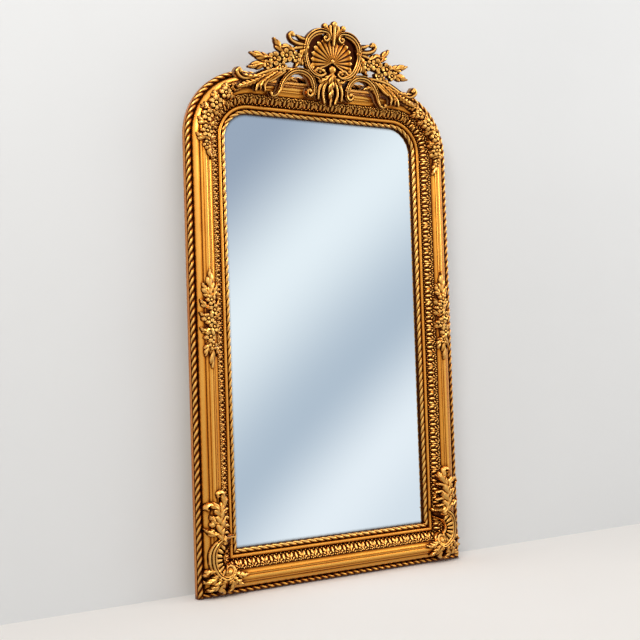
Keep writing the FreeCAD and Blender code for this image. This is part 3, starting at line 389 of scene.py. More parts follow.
# The glass: one flat plate of silvered glass with a ground edge, dropped into the rabbet from behind and
# centred on small wooden setting blocks. The silver is painted a little darker where it lies under the lip, as shade.
silvering, tree, shader = new_coat("silvered_glass")
place = made(tree, "TexCoord", "Object")
haze = made(tree, "TexNoise", "Fac", {"Vector": place, "Scale": 3.0})
tint = graded(tree, haze, (0.0, (0.760, 0.856, 0.950)), (1.0, (0.779, 0.876, 0.968)))
# Painted shade: ambient occlusion darkens the silver next to the lip.
edge = made(tree, "AmbientOcclusion", "AO", {"Distance": 0.011}, samples=6)
clear_of_lip_shade = made(tree, "MapRange", "Result", {"Value": edge, "From Min": 0.62, "From Max": 0.95})
silver = made(tree, "Mix", "Result", {"Factor": clear_of_lip_shade, "A": (0.075, 0.050, 0.025, 1), "B": tint}, data_type="RGBA")
film = made(tree, "MapRange", "Result", {"Value": haze, "To Min": 0.012, "To Max": 0.022})
feed(tree, shader, {"Base Color": silver, "Roughness": film, "Metallic": 1.0,
                    "Coat Weight": 0.2, "Coat Roughness": 0.02})


def give_coat(coat, *nodes):
    """A finish for solids that show as they are."""
    for node in nodes:
        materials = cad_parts[node].data.materials
        materials.clear()
        materials.append(coat)


give_coat(silvering, "mirror_glass")
give_coat(bare_wood, "setting_blocks", "joint_dowels")


# The back: a sheet of brown hardboard behind the glass, held by four planed strips with panel pins, and the
# shaped wooden knee that carries the crest from the top edge of the frame on two screws.
hardboard = timber("hardboard", early=(0.26, 0.155, 0.085), late=(0.20, 0.115, 0.060),
                   ring_scale=220.0, roughness=0.55)
bracket_wood = timber("bracket_wood", early=(0.42, 0.24, 0.09), late=(0.30, 0.16, 0.05),
                      ring_scale=40.0, roughness=0.6)
give_coat(hardboard, "backing_board")
give_coat(bare_wood, "holding_strip_left", "holding_strip_right", "holding_strip_bottom", "holding_strip_top")
give_coat(bracket_wood, "crest_bracket")


# The hangers: steel straps screwed to the back of the stiles, each with a loose ring in its rolled barrel.
# Zinc plated, a little dulled, like the pins and screws.
plated_steel, tree, shader = new_coat("plated_steel")
place = made(tree, "TexCoord", "Object")
spangle = made(tree, "TexNoise", "Fac", {"Vector": place, "Scale": 260.0, "Detail": 4.0})
zinc = graded(tree, spangle, (0.0, (0.40, 0.39, 0.36)), (1.0, (0.66, 0.65, 0.62)))
dull = made(tree, "MapRange", "Result", {"Value": spangle, "To Min": 0.28, "To Max": 0.46})
feed(tree, shader, {"Base Color": zinc, "Roughness": dull, "Metallic": 1.0})
give_coat(plated_steel, "strip_pins", "bracket_screws", "hanger_strap_left", "hanger_strap_right", "d_ring_left",
          "d_ring_right", "hanger_screws")


# The foot-corner cartouches: a fluted and beaded C-scroll with a volute, a tall acanthus leaf up the stile and
# leaves along the rail. Carved in limewood, gilded, and glued over the corner so that they hide the mitre.
ornament_gilt = gilding("ornament_gilt", leaf=(0.98, 0.385, 0.042), deep=(0.84, 0.265, 0.020),
                        rub_and_highlight=(1.0, 0.56, 0.15), tone_and_shade=(0.065, 0.011, 0.001), hollow_gain=1.10)
carver_wood = timber("carver_wood", early=(0.40, 0.21, 0.075), late=(0.29, 0.14, 0.045),
                     ring_scale=46.0, roughness=0.65)
GRID = 1.6
EVERYWHERE = (slice(None), slice(None))
# Darkening of the cut rims and the back edge of the side walls is painted shade with toning; the flat ground's is
# painted shade.
RIM_SHADE_AND_TONE, BACK_SHADE_AND_TONE, GROUND_SHADE = 0.75, 0.6, 1.2
SMOOTHING = 3


def swell(q, centre, width):
    """A soft swell across a form: 1 at its centre, fading out over its width."""
    return np.exp(-((q - centre) / width) ** 2)


class Carving:
    """A carved panel on a grid of x across and s up; each form is laid on and the higher one shows."""

    def __init__(self, x0, x1, s0, s1, shade_bias):
        self.x = np.arange(x0, x1 + GRID, GRID)
        self.s = np.arange(s0, s1 + GRID, GRID)
        self.X, self.S = np.meshgrid(self.x, self.s)
        self.inside = np.full(self.X.shape, -9.0)
        self.high = np.zeros(self.X.shape)
        self.toned_and_shaded = np.zeros(self.X.shape)
        # A painted shade laid evenly over the whole carving, heavier on the crest pieces.
        self.shade_bias = shade_bias

    def window(self, x, s, reach):
        i0, i1 = np.searchsorted(self.x, (np.min(x) - reach, np.max(x) + reach))
        j0, j1 = np.searchsorted(self.s, (np.min(s) - reach, np.max(s) + reach))
        return slice(j0, j1), slice(i0, i1)

    def lay(self, win, inside, high, edge, tone_and_shade=0.0):
        """Adds a form; its rim is rounded over the edge width, and its darkening value (painted shade with toning)
        darkens the parts of it that show.
        """
        rounded = high * np.clip(inside / edge, 0, 1) ** 0.5
        shows = (inside > 0) & ((rounded >= self.high[win]) | (self.inside[win] <= 0))
        self.toned_and_shaded[win] = np.where(shows, tone_and_shade, self.toned_and_shaded[win])
        self.high[win] = np.where(shows, rounded, self.high[win])
        self.inside[win] = np.maximum(self.inside[win], inside)

    def ground(self, corners):
        """Flat ground inside a ring of corners, which the raised forms stand on, painted dark as shade."""
        inside = np.full(self.X.shape, 99.0)
        crossed = np.zeros(self.X.shape, dtype=bool)
        for (ax, ay), (bx, by) in zip(corners, corners[1:] + corners[:1]):
            dx, ds = bx - ax, by - ay
            f = np.clip(((self.X - ax) * dx + (self.S - ay) * ds) / (dx * dx + ds * ds), 0, 1)
            inside = np.minimum(inside, np.hypot(self.X - ax - f * dx, self.S - ay - f * ds))
            if by != ay:
                crossed ^= ((ay > self.S) != (by > self.S)) & (self.X < ax + (self.S - ay) / ds * dx)
        self.lay(EVERYWHERE, np.where(crossed, inside, -inside), 0 * inside, 1.0, GROUND_SHADE)

    def along(self, path):
        """Window round a drawn line, with each point's distance, side, half width and share along the line."""
        points = np.array(path, dtype=float)
        before = np.vstack([points[:1], points[:-1]])
        after = np.vstack([points[1:], points[-1:]])
        slope = (after - before) / 2
        f = np.linspace(0, 1, 16, endpoint=False)[:, None]
        line = []
        for k in range(len(points) - 1):
            p, q, m, n = points[k], points[k + 1], slope[k], slope[k + 1]
            line.append(p + f * m + f ** 2 * (3 * (q - p) - 2 * m - n) + f ** 3 * (2 * (p - q) + m + n))
        line = np.vstack(line + [points[-1:]])
        step = np.gradient(line[:, :2], axis=0)
        step /= np.linalg.norm(step, axis=1)[:, None] + 1e-9
        run = np.concatenate([[0], np.cumsum(np.linalg.norm(np.diff(line[:, :2], axis=0), axis=1))])
        win = self.window(line[:, 0], line[:, 1], line[:, 2].max() + 2)
        dx = self.X[win][..., None] - line[:, 0]
        ds = self.S[win][..., None] - line[:, 1]
        nearest = np.argmin(dx * dx + ds * ds, axis=-1)
        dx = np.take_along_axis(dx, nearest[..., None], -1)[..., 0]
        ds = np.take_along_axis(ds, nearest[..., None], -1)[..., 0]
        tx, ts = step[nearest, 0], step[nearest, 1]
        cross = tx * ds - ts * dx
        ends = (nearest == 0) | (nearest == len(line) - 1)
        distance = np.where(ends, np.hypot(dx, ds), np.abs(cross))
        reach = run[nearest] + dx * tx + ds * ts
        return win, distance, np.sign(cross), np.maximum(line[nearest, 2], 0.6), reach / run[-1], run[-1]

    def scroll(self, path, crown, lift=0.0, tone_and_shade=0.0):
        """Moulded band: a rounded face between two quirks, a raised fillet on its left.
        A thin end is a plain cord."""
        win, d, side, half, *_ = self.along(path)
        q = np.clip(d / half, 0, 1)
        broad, broadest = np.clip((half - 3.5) / 3, 0, 1), np.clip((half - 8.0) / 2.5, 0, 1)
        quirk = np.maximum(broad * swell(side * q, 0.40, 0.13), 0.8 * broadest * swell(side * q, -0.32, 0.13))
        fillet = broad * swell(side * q, 0.74, 0.17)
        high = 0.2 + 0.8 * dome(q) + 0.28 * fillet - 0.42 * quirk
        # Painted shade with toning: the quirks and the band's outer edge are darkened on top of the given value.
        self.lay(win, half - d, lift + crown * high, 1.8, tone_and_shade + 0.65 * quirk + 0.5 * np.clip(q * 4 - 3, 0, 1))

    def frond(self, path, crown, lift=0.0):
        """Smooth strap of a leaf: a rounded blade, with a vein along each side where it is wide."""
        win, d, _, half, *_ = self.along(path)
        q = np.clip(d / half, 0, 1)
        vein = swell(q, 0.52, 0.15) * np.clip((half - 7.0) / 2.0, 0, 1)
        high = 0.25 + 0.75 * dome(q) - 0.30 * vein
        # Painted shade with toning: the blade's edges and its veins are darkened.
        self.lay(win, half - d, lift + crown * high, 1.6, np.maximum(0.9 * np.clip(q * 2.6 - 1.5, 0, 1), 0.6 * vein))

    def leaf(self, path, crown, lift, lobe):
        """Acanthus blade: soft lobes that point to the tip, each with its own fold, and a raised rib."""
        win, d, side, half, t, length = self.along(path)
        lobes = max(2, round(length / lobe))
        saw = (t * lobes - 0.55 * d / half + 0.5 * (side > 0)) % 1.0
        fold = np.sin(math.pi * saw)
        edge = np.where(half < 3.5, half, half * (0.74 + 0.26 * fold ** 0.6))
        q = np.clip(d / np.maximum(edge, 0.6), 0, 1)
        slit = swell(np.minimum(saw, 1 - saw), 0, 0.12) * np.clip(d / half * 1.8 - 0.35, 0, 1) * (half > 3.5)
        rib = swell(d, 0, 1.6)
        body = (0.35 + 0.65 * dome(q)) * (0.86 + 0.2 * fold)
        # Painted shade with toning: the slits between the lobes are darkened.
        self.lay(win, edge - d, lift + crown * (body + 0.22 * rib - 0.34 * slit), 2.0, 0.5 * slit)

    def flower(self, x, s, radius, crown, lift, petals, turn):
        """Open flower: broad cupped petals parted by grooves, and a small domed eye in a sunk ring; the grooves and
        the ring are painted dark as shade.
        """
        win = self.window(x, s, radius + 2)
        dx, ds = self.X[win] - x, self.S[win] - s
        r = np.hypot(dx, ds)
        lobe = np.abs(np.cos(petals / 2 * (np.arctan2(ds, dx) + turn)))
        rim = radius * (0.66 + 0.34 * lobe ** 0.8)
        q = np.clip(r / rim, 0, 1)
        groove = swell(lobe, 0, 0.16) * np.clip(q * 1.8 - 0.3, 0, 1)
        petal = 0.40 + 0.55 * np.sin(math.pi / 2 * np.clip(q * 1.25, 0, 1)) - 0.60 * groove
        eye = r / (0.24 * radius)
        ring = swell(eye, 1.15, 0.28)
        high = np.where(eye < 1, 0.62 + 0.42 * dome(eye), petal - 0.25 * ring)
        self.lay(win, rim - r, lift + crown * high, 2.2, 0.7 * np.maximum(groove, ring))

    def bead(self, x, s, radius, crown, lift):
        win = self.window(x, s, radius + 2)
        r = np.hypot(self.X[win] - x, self.S[win] - s)
        self.lay(win, radius - r, lift + crown * dome(r / radius), 0.8)

    def hollows(self):
        """How dark each point is painted: the carving's even painted shade, plus how far the point lies below what is
        round it, from 0 on the heights to 1 in the hollows, plus the darkening laid with its form; painted shade with
        toning.
        """
        weight = (self.inside > 0).astype(float)
        total = self.high * weight
        shifts = range(-SMOOTHING, SMOOTHING + 1)
        for axis in (0, 1):
            total = sum(np.roll(total, k, axis) for k in shifts) / len(shifts)
            weight = sum(np.roll(weight, k, axis) for k in shifts) / len(shifts)
        mean = total / np.maximum(weight, 1e-3)
        return np.clip(np.clip(self.shade_bias + (mean - self.high) / 2.4, 0, 1) + self.toned_and_shaded, 0, 1.3)

    def mesh(self, name, place, mirrored=False):
        """Closed mesh of the panel: carved front, side walls along the cut outline, and bare back.
        front and back hold depths on the grid; place turns x, s and depth into points."""
        inside = self.inside > 0
        shade = self.hollows()
        number = -np.ones(inside.shape, dtype=int)
        number[inside] = np.arange(inside.sum())
        xs, ss = list(self.X[inside]), list(self.S[inside])
        fr, bk, hl = list(self.front[inside]), list(self.back[inside]), list(shade[inside])
        cuts = {}

        def cut(a, b):
            key = (a, b) if a < b else (b, a)
            if key not in cuts:
                f = self.inside[a] / (self.inside[a] - self.inside[b])
                f = min(max(f, 0.05), 0.95)
                cuts[key] = len(xs)
                xs.append(self.X[a] + f * (self.X[b] - self.X[a]))
                ss.append(self.S[a] + f * (self.S[b] - self.S[a]))
                kept = a if inside[a] else b
                fr.append(self.rim_front[kept])
                bk.append(self.rim_back[kept])
                hl.append(RIM_SHADE_AND_TONE)
            return cuts[key]

        full = inside[:-1, :-1] & inside[:-1, 1:] & inside[1:, 1:] & inside[1:, :-1]
        part = (inside[:-1, :-1] | inside[:-1, 1:] | inside[1:, 1:] | inside[1:, :-1]) & ~full
        j, i = np.nonzero(full)
        polys = np.column_stack([number[j, i], number[j, i + 1], number[j + 1, i + 1], number[j + 1, i]]).tolist()
        rims = []
        for j, i in zip(*np.nonzero(part)):
            corners = [(j, i), (j, i + 1), (j + 1, i + 1), (j + 1, i)]
            poly = []
            out_at = in_at = None
            for k in range(4):
                a, b = corners[k], corners[(k + 1) % 4]
                if inside[a]:
                    poly.append(int(number[a]))
                if inside[a] != inside[b]:
                    c = cut(a, b)
                    poly.append(c)
                    if inside[a]:
                        out_at = c
                    elif out_at is not None:
                        rims.append((out_at, c))
                        out_at = None
                    else:
                        in_at = c
            if out_at is not None and in_at is not None:
                rims.append((out_at, in_at))
            polys.append(poly)
        total = len(xs)
        xs, ss = np.array(xs), np.array(ss)
        flip = -1 if mirrored else 1
        verts = np.concatenate([place(flip * xs, ss, np.array(fr)), place(flip * xs, ss, np.array(bk))])
        faces = [list(p) for p in polys] + [[v + total for v in reversed(p)] for p in polys]
        faces += [[b, a, a + total, b + total] for a, b in rims]
        if mirrored:
            faces = [f[::-1] for f in faces]
        piece = new_piece(name, verts, faces, np.concatenate([hl, np.full(total, BACK_SHADE_AND_TONE)]))
        behind = [int(min(face.vertices) >= total) for face in piece.data.polygons]
        piece.data.polygons.foreach_set("material_index", behind)
        return piece


# The gilded surface that the ornaments lie on: way out from the sight edge, and height over the back.
surface = ((0, 25), (1, 31), (7, 36), (13, 31), (14, 30), (22, 38.5), (29, 32), (31, 34), (58, 59), (64, 60.5),
           (72.75, 65.5), (78, 66.5), (81, 69), (90.75, 69), (93.3, 66), (100, 61.5), (106.9, 52.5), (114, 48),
           (120.5, 40), (121.5, 38), (130.2, 45), (138.9, 38), (140, 32))
GLUE = 1.5


def on_moulding(carving, w):
    """Front and back of a carving that is laid over the moulding: its rim comes down to the gilded surface."""
    under = np.interp(w, *zip(*surface)) - RIDGE
    soft = np.clip(carving.inside / 5.0, 0, 1) ** 0.6
    front = under * (1 - soft) + (0.42 * under + carving.high) * soft
    carving.rim_front = under + 0.4
    carving.front = np.maximum(front, carving.rim_front)
    carving.back = carving.rim_back = under - GLUE


def on_ridge(x0, z0):
    return lambda x, s, n: np.column_stack([x0 + x, BACK_Y - RIDGE - n, z0 + s])


def laid_on(kind, carving, w, x0, z0):
    """The right-hand ornament and its mirrored fellow on the left, both laid on the moulding."""
    on_moulding(carving, w)
    for side, word in ((1, "right"), (-1, "left")):
        piece = carving.mesh("carved_" + kind + "_" + word, on_ridge(side * x0, z0), side < 0)
        fix(piece, kind + "_" + word, "gilt_ornament", ornament_gilt, carver_wood)


corner = Carving(-22, 132, -134, 204, shade_bias=0.06)
corner.scroll([(40, 33, 12), (64, 22, 13), (80, -2, 14), (80, -28, 14), (68, -54, 13)],
              crown=0.5, lift=0.0, tone_and_shade=0.45)
for path in (
    [(94, -52, 8), (110, -52, 12), (124, -62, 6)],
    [(88, -66, 9), (106, -82, 15), (124, -82, 6)],
    [(76, -74, 9), (93, -102, 15), (112, -110, 7)],
    [(62, -82, 9), (72, -107, 14), (60, -124, 7)],
    [(46, -78, 9), (34, -103, 14), (44, -122, 6)],
    [(38, -72, 8), (16, -92, 13), (-4, -106, 5)],
    [(30, -62, 8), (4, -74, 13), (-19, -72, 4)],
    [(80, 62, 8), (102, 66, 12), (121, 80, 4)],
    [(80, 94, 7), (92, 103, 10), (103, 120, 4)],
):
    corner.leaf(path, crown=9.0, lift=2.0, lobe=20.0)
for path in (
    [(70, 62, 7), (54, 64, 9), (40, 60, 5)],
    [(72, 80, 7), (54, 86, 10), (38, 82, 5)],
    [(72, 100, 7), (53, 111, 10), (38, 108, 5)],
    [(73, 122, 7), (54, 135, 10), (41, 137, 5)],
    [(64, 148, 6), (50, 160, 8), (40, 168, 4)],
):
    corner.frond(path, crown=8.0, lift=1.0)
corner.leaf([(75, 118, 12), (63, 146, 15), (58, 170, 15), (66, 189, 11), (80, 187, 8), (80, 175, 4.5)],
            crown=10.0, lift=2.5, lobe=30.0)
corner.leaf([(58, 36, 12), (72, 64, 17), (71, 98, 20), (75, 126, 19), (88, 147, 15), (104, 154, 12), (116, 145, 9),
             (108, 135, 5)], crown=11.0, lift=3.0, lobe=26.0)
for x, s, radius in ((97, 113, 11), (98, 92, 11), (98, 74, 9), (122, -63, 8), (122, -85, 8), (110, -110, 9),
                     (60, -121, 8), (43, -119, 8), (109, 141, 7), (75, 179, 7)):
    corner.bead(x, s, radius, crown=8.0, lift=2.5)
for k in range(7):
    angle = math.radians(52 - 18 * k)
    corner.frond([(36 + reach * math.cos(angle), -18 + reach * math.sin(angle), half)
                  for reach, half in ((33, 4.2), (44, 6.4), (55, 7.6))], crown=7.0, lift=2.5)
corner.bead(45, -58, 24, crown=7.0, lift=3.0)
corner.scroll([(24, 47, 7), (54, 46, 10), (80, 34, 12), (97, 10, 13), (100, -20, 13.5), (94, -48, 13), (77, -70, 12),
               (55, -81, 11), (35, -74, 10), (25, -56, 9), (37, -40, 7.5), (54, -45, 6.5), (55, -60, 5)],
              crown=8.5, lift=4.0)
corner.scroll([(30, 21, 4.2), (51, 11, 4.2), (63, -8, 4.2), (61, -28, 4.2), (51, -41, 4.2)], crown=8.5, lift=3.0)
corner.bead(44, -60, 9.0, crown=8.0, lift=5.0)
laid_on("corner_cartouche", corner, np.maximum(corner.X, -corner.S), SIGHT_X, SIGHT_FOOT)


# The side bouquets: a bunch of open flowers and leaves half way up each stile, with a bud that points down.
# Carved, gilded and glued to the flat of the ridge.
BOUQUET_W, BOUQUET_Z = 82.5, 875.0
bunch = Carving(-44, 44, -160, 160, shade_bias=0.11)
bunch.scroll([(0, 70, 12), (0, -8, 17), (0, -86, 12)], crown=1.0, lift=0.0, tone_and_shade=0.6)
bunch.leaf([(0, 60, 9), (0, 112, 17), (1, 154, 5)], crown=8.0, lift=0.5, lobe=28.0)
bunch.leaf([(0, -84, 8), (0, -116, 12), (1, -152, 7)], crown=8.0, lift=0.5, lobe=40.0)
for side in (-1, 1):
    for path in ([(4, 58, 8), (15, 86, 12), (23, 112, 4)], [(6, 34, 7), (20, 44, 11), (29, 60, 4)],
                 [(6, 4, 7), (21, 8, 11), (31, 20, 4)], [(6, -34, 7), (21, -38, 11), (30, -28, 4)],
                 [(4, -72, 8), (15, -94, 12), (20, -116, 5)]):
        bunch.leaf([(side * x, z, half) for x, z, half in path], crown=7.0, lift=0.5, lobe=18.0)
for k, (x, z, radius) in enumerate(((0, 58, 19), (-10, 27, 20), (11, 0, 20),
                                    (-8, -26, 20), (6, -56, 21), (-2, -86, 16))):
    bunch.flower(x, z, radius, crown=9.5, lift=2.5, petals=5, turn=0.7 * k)
laid_on("side_bouquet", bunch, BOUQUET_W + bunch.X, SIGHT_X + BOUQUET_W, BOUQUET_Z)


# The shoulder garlands: flowers and leaves strung round each rounded top corner, ending in a bud that points
# down the stile. Carved and gilded like the rest, and glued to the ridge.
GARLAND_R = SHOULDER + BOUQUET_W


def on_arc(angle, out, half):
    a = math.radians(angle)
    return (GARLAND_R + out) * math.cos(a), (GARLAND_R + out) * math.sin(a), half


chain = Carving(26, 208, -88, 204, shade_bias=0.20)
chain.scroll([on_arc(a, 0, 13) for a in (-14, 8, 30, 52, 72)], crown=1.0, lift=0.0, tone_and_shade=0.6)
for k in range(5):
    for out in (-27, 26):
        base = -4 + 15.6 * k
        chain.leaf([on_arc(base, 0, 8), on_arc(base + 1, out * 0.6, 13), on_arc(base + 5, out, 4)],
                   crown=7.0, lift=0.5, lobe=18.0)
for first, middle, last in ((-10, -18, -27), (64, 71, 80)):
    chain.leaf([on_arc(first, 0, 9), on_arc(middle, 0, 13), on_arc(last, 0, 4)], crown=7.0, lift=0.5, lobe=24.0)
for k, (angle, out, bloom) in enumerate(((10, -22, 11), (28, 22, 12), (46, -22, 11), (62, 17, 11))):
    x, s, radius = on_arc(angle, out, bloom)
    chain.flower(x, s, radius, crown=7.5, lift=2.0, petals=4 + k % 3, turn=0.5 * k)
for k, (angle, out, bloom) in enumerate(((-12, 2, 16), (3, -3, 22), (20, 3, 22),
                                         (37, -3, 25), (54, -1, 22), (68, 2, 16))):
    x, s, radius = on_arc(angle, out, bloom)
    chain.flower(x, s, radius, crown=9.5, lift=2.5, petals=5 + k % 2, turn=0.9 * k)
round_shoulder = np.where(chain.S < 0, chain.X, np.hypot(chain.X, chain.S)) - SHOULDER
laid_on("corner_garland", chain, round_shoulder, SPRING_X, SPRING_Z)


# The crest: an openwork cresting that leans forward over the top rail. Its C-scrolls and acanthus wings stand
# on the ridge; each is carved right through in limewood and gilded.
CREST_STAND = 13.0
CREST_Y, CREST_Z, CREST_TILT = BACK_Y - RIDGE - CREST_STAND, SIGHT_TOP + 41.0, math.radians(11.6)
RIM_THICKNESS, SEAT_GAP = 5.0, 0.4


def on_crest(x, s, n):
    return np.column_stack([x, CREST_Y - s * math.sin(CREST_TILT) - n * math.cos(CREST_TILT),
                            CREST_Z + s * math.cos(CREST_TILT) - n * math.sin(CREST_TILT)])


def cut_through(kind, carving, rim, depth, ends=("",), foot=False):
    """Openwork of the crest, thin at its rim; a carving with a foot is cut off behind by the ridge it stands on.
    A pair is cut from one drawing, the left one turned over."""
    carving.front = rim + carving.high
    if foot:
        seat = -(CREST_STAND - SEAT_GAP + carving.S * math.sin(CREST_TILT)) / math.cos(CREST_TILT)
        carving.back = np.maximum(seat, -depth)
    else:
        soft = np.clip(carving.inside / 4.0, 0, 1) ** 0.5
        carving.back = rim - RIM_THICKNESS - (depth + rim - RIM_THICKNESS) * soft
    carving.rim_front = np.full(carving.high.shape, rim)
    carving.rim_back = carving.rim_front - RIM_THICKNESS
    for end in ends:
        piece = carving.mesh("carved_" + kind + end, on_crest, end == "_left")
        fix(piece, kind + end, "gilt_ornament", ornament_gilt, carver_wood)


wing = Carving(46, 360, 0, 118, shade_bias=0.38)
for path in (
    [(228, 84, 6), (260, 66, 8), (288, 48, 9.5), (314, 37, 8), (341, 28, 4.5)],
    [(206, 90, 6), (236, 73, 8), (258, 56, 8.5), (271, 41, 7), (277, 24, 4.5)],
    [(190, 90, 6), (215, 74, 8), (236, 58, 8), (246, 43, 6), (244, 26, 4)],
    [(176, 92, 5), (196, 79, 7.5), (214, 66, 7), (230, 56, 4)],
    [(140, 103, 7), (180, 102, 9), (220, 95, 10), (252, 82, 10), (284, 67, 9.5), (314, 58, 9), (335, 62, 8),
     (347, 75, 7), (339, 87, 6), (330, 78, 4.5)],
):
    wing.frond(path, crown=9.0, lift=0.5)
for path in ([(250, 74, 7), (284, 54, 11), (316, 40, 11), (343, 30, 5)],
             [(214, 84, 6), (240, 66, 9), (258, 48, 9), (262, 28, 4.5)],
             [(262, 70, 6), (300, 66, 9), (326, 70, 4)]):
    wing.leaf(path, crown=9.0, lift=1.0, lobe=15.0)
wing.leaf([(178, 56, 6), (164, 72, 9), (146, 73, 8), (130, 66, 4)], crown=7.5, lift=1.0, lobe=18.0)
wing.scroll([(78, 46, 4.5), (88, 41, 5), (87, 29, 5.5), (75, 24, 7), (65, 35, 9), (66, 57, 10.5), (77, 82, 11),
             (96, 97, 11.5), (119, 102, 11.5), (145, 97, 11.5), (168, 80, 11), (184, 55, 10), (193, 31, 8),
             (204, 17, 6.5), (217, 14, 6), (224, 22, 5)], crown=9.5, lift=2.5)
wing.bead(78, 41, 7.5, crown=8.0, lift=4.5)
wing.bead(221, 20, 6.5, crown=7.0, lift=4.5)
wing.bead(335, 80, 8.0, crown=8.0, lift=2.5)
cut_through("crest_scroll", wing, rim=-5.0, depth=28.0, ends=("_right", "_left"), foot=True)


# The shell: a scallop whose flutes fan out from its root, with a faintly waved rim, on a thin ground, painted dark
# as shade, that closes the crest behind it. It is the boldest carving of the crest and is glued to the bracket
# behind.
SHELL_S, SHELL_RISE, SHELL_REACH = 138.0, 83.0, 80.0
FLUTES, FAN_START, FAN_END = 17, -30, 210
shell = Carving(-106, 106, 96, 236, shade_bias=0.46)
ground_edge = [(26, 99), (62, 99), (86, 116), (98, 140), (102, 168), (97, 198), (80, 222), (52, 232), (24, 224)]
shell.ground(ground_edge + [(-x, s) for x, s in reversed(ground_edge)])
dx, ds = shell.X / SHELL_REACH, (shell.S - SHELL_S) / SHELL_RISE
r, a = (np.abs(dx) ** 2.5 + np.abs(ds) ** 2.5) ** 0.4, np.arctan2(ds, dx)
fan = np.degrees(np.where(a < -math.pi / 2, a + 2 * math.pi, a))
flute = ((fan - FAN_START) / ((FAN_END - FAN_START) / FLUTES)) % 1.0 - 0.5
rim = 0.98 + 0.04 * np.cos(2 * math.pi * flute)
within = np.minimum((rim - r) * SHELL_REACH * 0.9, np.minimum(fan - FAN_START, FAN_END - fan) * r * 1.2)
wide = np.clip(r * 1.6, 0, 1)
bowl = 5.0 + 8.0 * (1 - r ** 2) - 5.0 * wide * (1 - dome(2 * flute)) + 2.0 * swell(r, 0.93, 0.08)
# Painted shade with toning: the grooves between the flutes are darkened.
shell.lay(EVERYWHERE, within, bowl, 2.0, 0.04 + 0.8 * wide * swell(np.abs(flute), 0.5, 0.15))
for side in (-1, 1):
    for x, s, radius in ((73, 118, 10), (58, 110, 10), (42, 108, 8)):
        shell.bead(side * x, s, radius, crown=7.0, lift=3.0)
shell.bead(0, 145, 8, crown=7.0, lift=9.0)
cut_through("crest_shell", shell, rim=-10.0, depth=18.0)


# The surround: a lower and an upper C-scroll on each side of the shell, with curled acanthus on the outside.
# Left and right are a pair, carved through and glued to the shell's edge and the bracket.
surround = Carving(10, 174, 84, 250, shade_bias=0.42)
surround.frond([(96, 188, 9), (118, 187, 11), (142, 190, 10), (160, 198, 8.5), (166, 211, 7.5), (157, 220, 6.5),
                (149, 212, 5)], crown=8.5, lift=1.0)
for path in ([(104, 180, 7), (126, 176, 10), (147, 171, 4)], [(98, 204, 7), (120, 206, 9), (138, 213, 4.5)],
             [(66, 104, 6), (52, 117, 10), (36, 113, 5)], [(100, 150, 6), (114, 138, 9), (112, 122, 4)]):
    surround.frond(path, crown=8.0, lift=1.0)
surround.leaf([(98, 180, 8), (114, 164, 13), (121, 144, 6)], crown=8.5, lift=1.5, lobe=18.0)
surround.scroll([(100, 195, 9), (104, 165, 10.5), (99, 138, 11), (86, 113, 11), (65, 97, 10), (40, 93, 8),
                 (24, 103, 6), (31, 113, 5)], crown=9.0, lift=2.5)
surround.scroll([(36, 223, 4.5), (38, 214, 5), (28, 208, 6.5), (17, 219, 8), (25, 234, 9.5), (49, 237, 12.5),
                 (74, 229, 13), (94, 210, 12), (103, 186, 10)], crown=9.5, lift=3.0)
surround.bead(32, 112, 7.0, crown=8.0, lift=4.5)
surround.bead(33, 221, 7.0, crown=8.0, lift=4.5)
surround.bead(155, 215, 7.0, crown=8.0, lift=2.5)
cut_through("shell_surround", surround, rim=-7.0, depth=18.0, ends=("_right", "_left"))


# The finial: a small palmette that crowns the shell, five rounded plumes from one root, glued on top of the
# upper scrolls.
plume = Carving(-46, 46, 196, 282, shade_bias=0.38)
plume.scroll([(0, 200, 6), (0, 232, 14), (0, 262, 12)], crown=1.0, lift=0.0, tone_and_shade=0.7)
for side in (-1, 1):
    plume.frond([(side * 5, 216, 5), (side * 21, 244, 6.8), (side * 36, 255, 6.8)], crown=7.0, lift=1.0)
    plume.bead(side * 35, 256, 10.5, crown=8.0, lift=2.5)
    plume.frond([(side * 3, 208, 4.5), (side * 15, 240, 6.8), (side * 15, 258, 6)], crown=7.0, lift=1.5)
plume.frond([(0, 198, 6), (0, 226, 6.8), (0, 252, 6.8), (0, 270, 6)], crown=8.0, lift=3.0)
plume.bead(0, 265, 11.5, crown=9.0, lift=3.0)
plume.bead(0, 206, 8.0, crown=7.0, lift=3.0)
cut_through("crest_finial", plume, rim=-7.0, depth=18.0)


# The pendant: an acanthus drop that hangs from under the shell over the top leaf band, with side fronds and a
# domed boss at its head.
drop = Carving(-60, 60, -8, 132, shade_bias=0.42)
for side in (-1, 1):
    for path in ([(14, 90, 5), (34, 70, 6.8), (45, 46, 6.8), (45, 20, 4.5)],
                 [(8, 88, 5), (23, 62, 6.8), (28, 34, 6.8), (20, 6, 4.5)]):
        drop.frond([(side * x, s, half) for x, s, half in path], crown=9.0, lift=0.5)
    drop.leaf([(side * x, s, half) for x, s, half in ((5, 102, 6), (19, 87, 10), (39, 77, 10), (53, 87, 4.5))],
              crown=9.0, lift=2.0, lobe=18.0)
drop.leaf([(0, 104, 8), (0, 76, 13), (0, 44, 12), (0, -2, 4.5)], crown=10.0, lift=4.0, lobe=26.0)
drop.frond([(0, 122, 8), (0, 100, 7), (0, 80, 4.5)], crown=10.0, lift=5.0)
drop.bead(0, 117, 14.0, crown=8.0, lift=8.0)
cut_through("crest_pendant", drop, rim=-6.0, depth=26.0, foot=True)


# The flower sprays: open flowers, buds and pointed leaves on each side of the shell. The left one droops more
# at its outer end than the right. Carved through, gilded, and glued to the surround.
SPRAY_ROOT, SPRAY_REACH = 108, 190


def lowered(path):
    return [(x, s - droop * (x - SPRAY_ROOT) / SPRAY_REACH, half) for x, s, half in path]


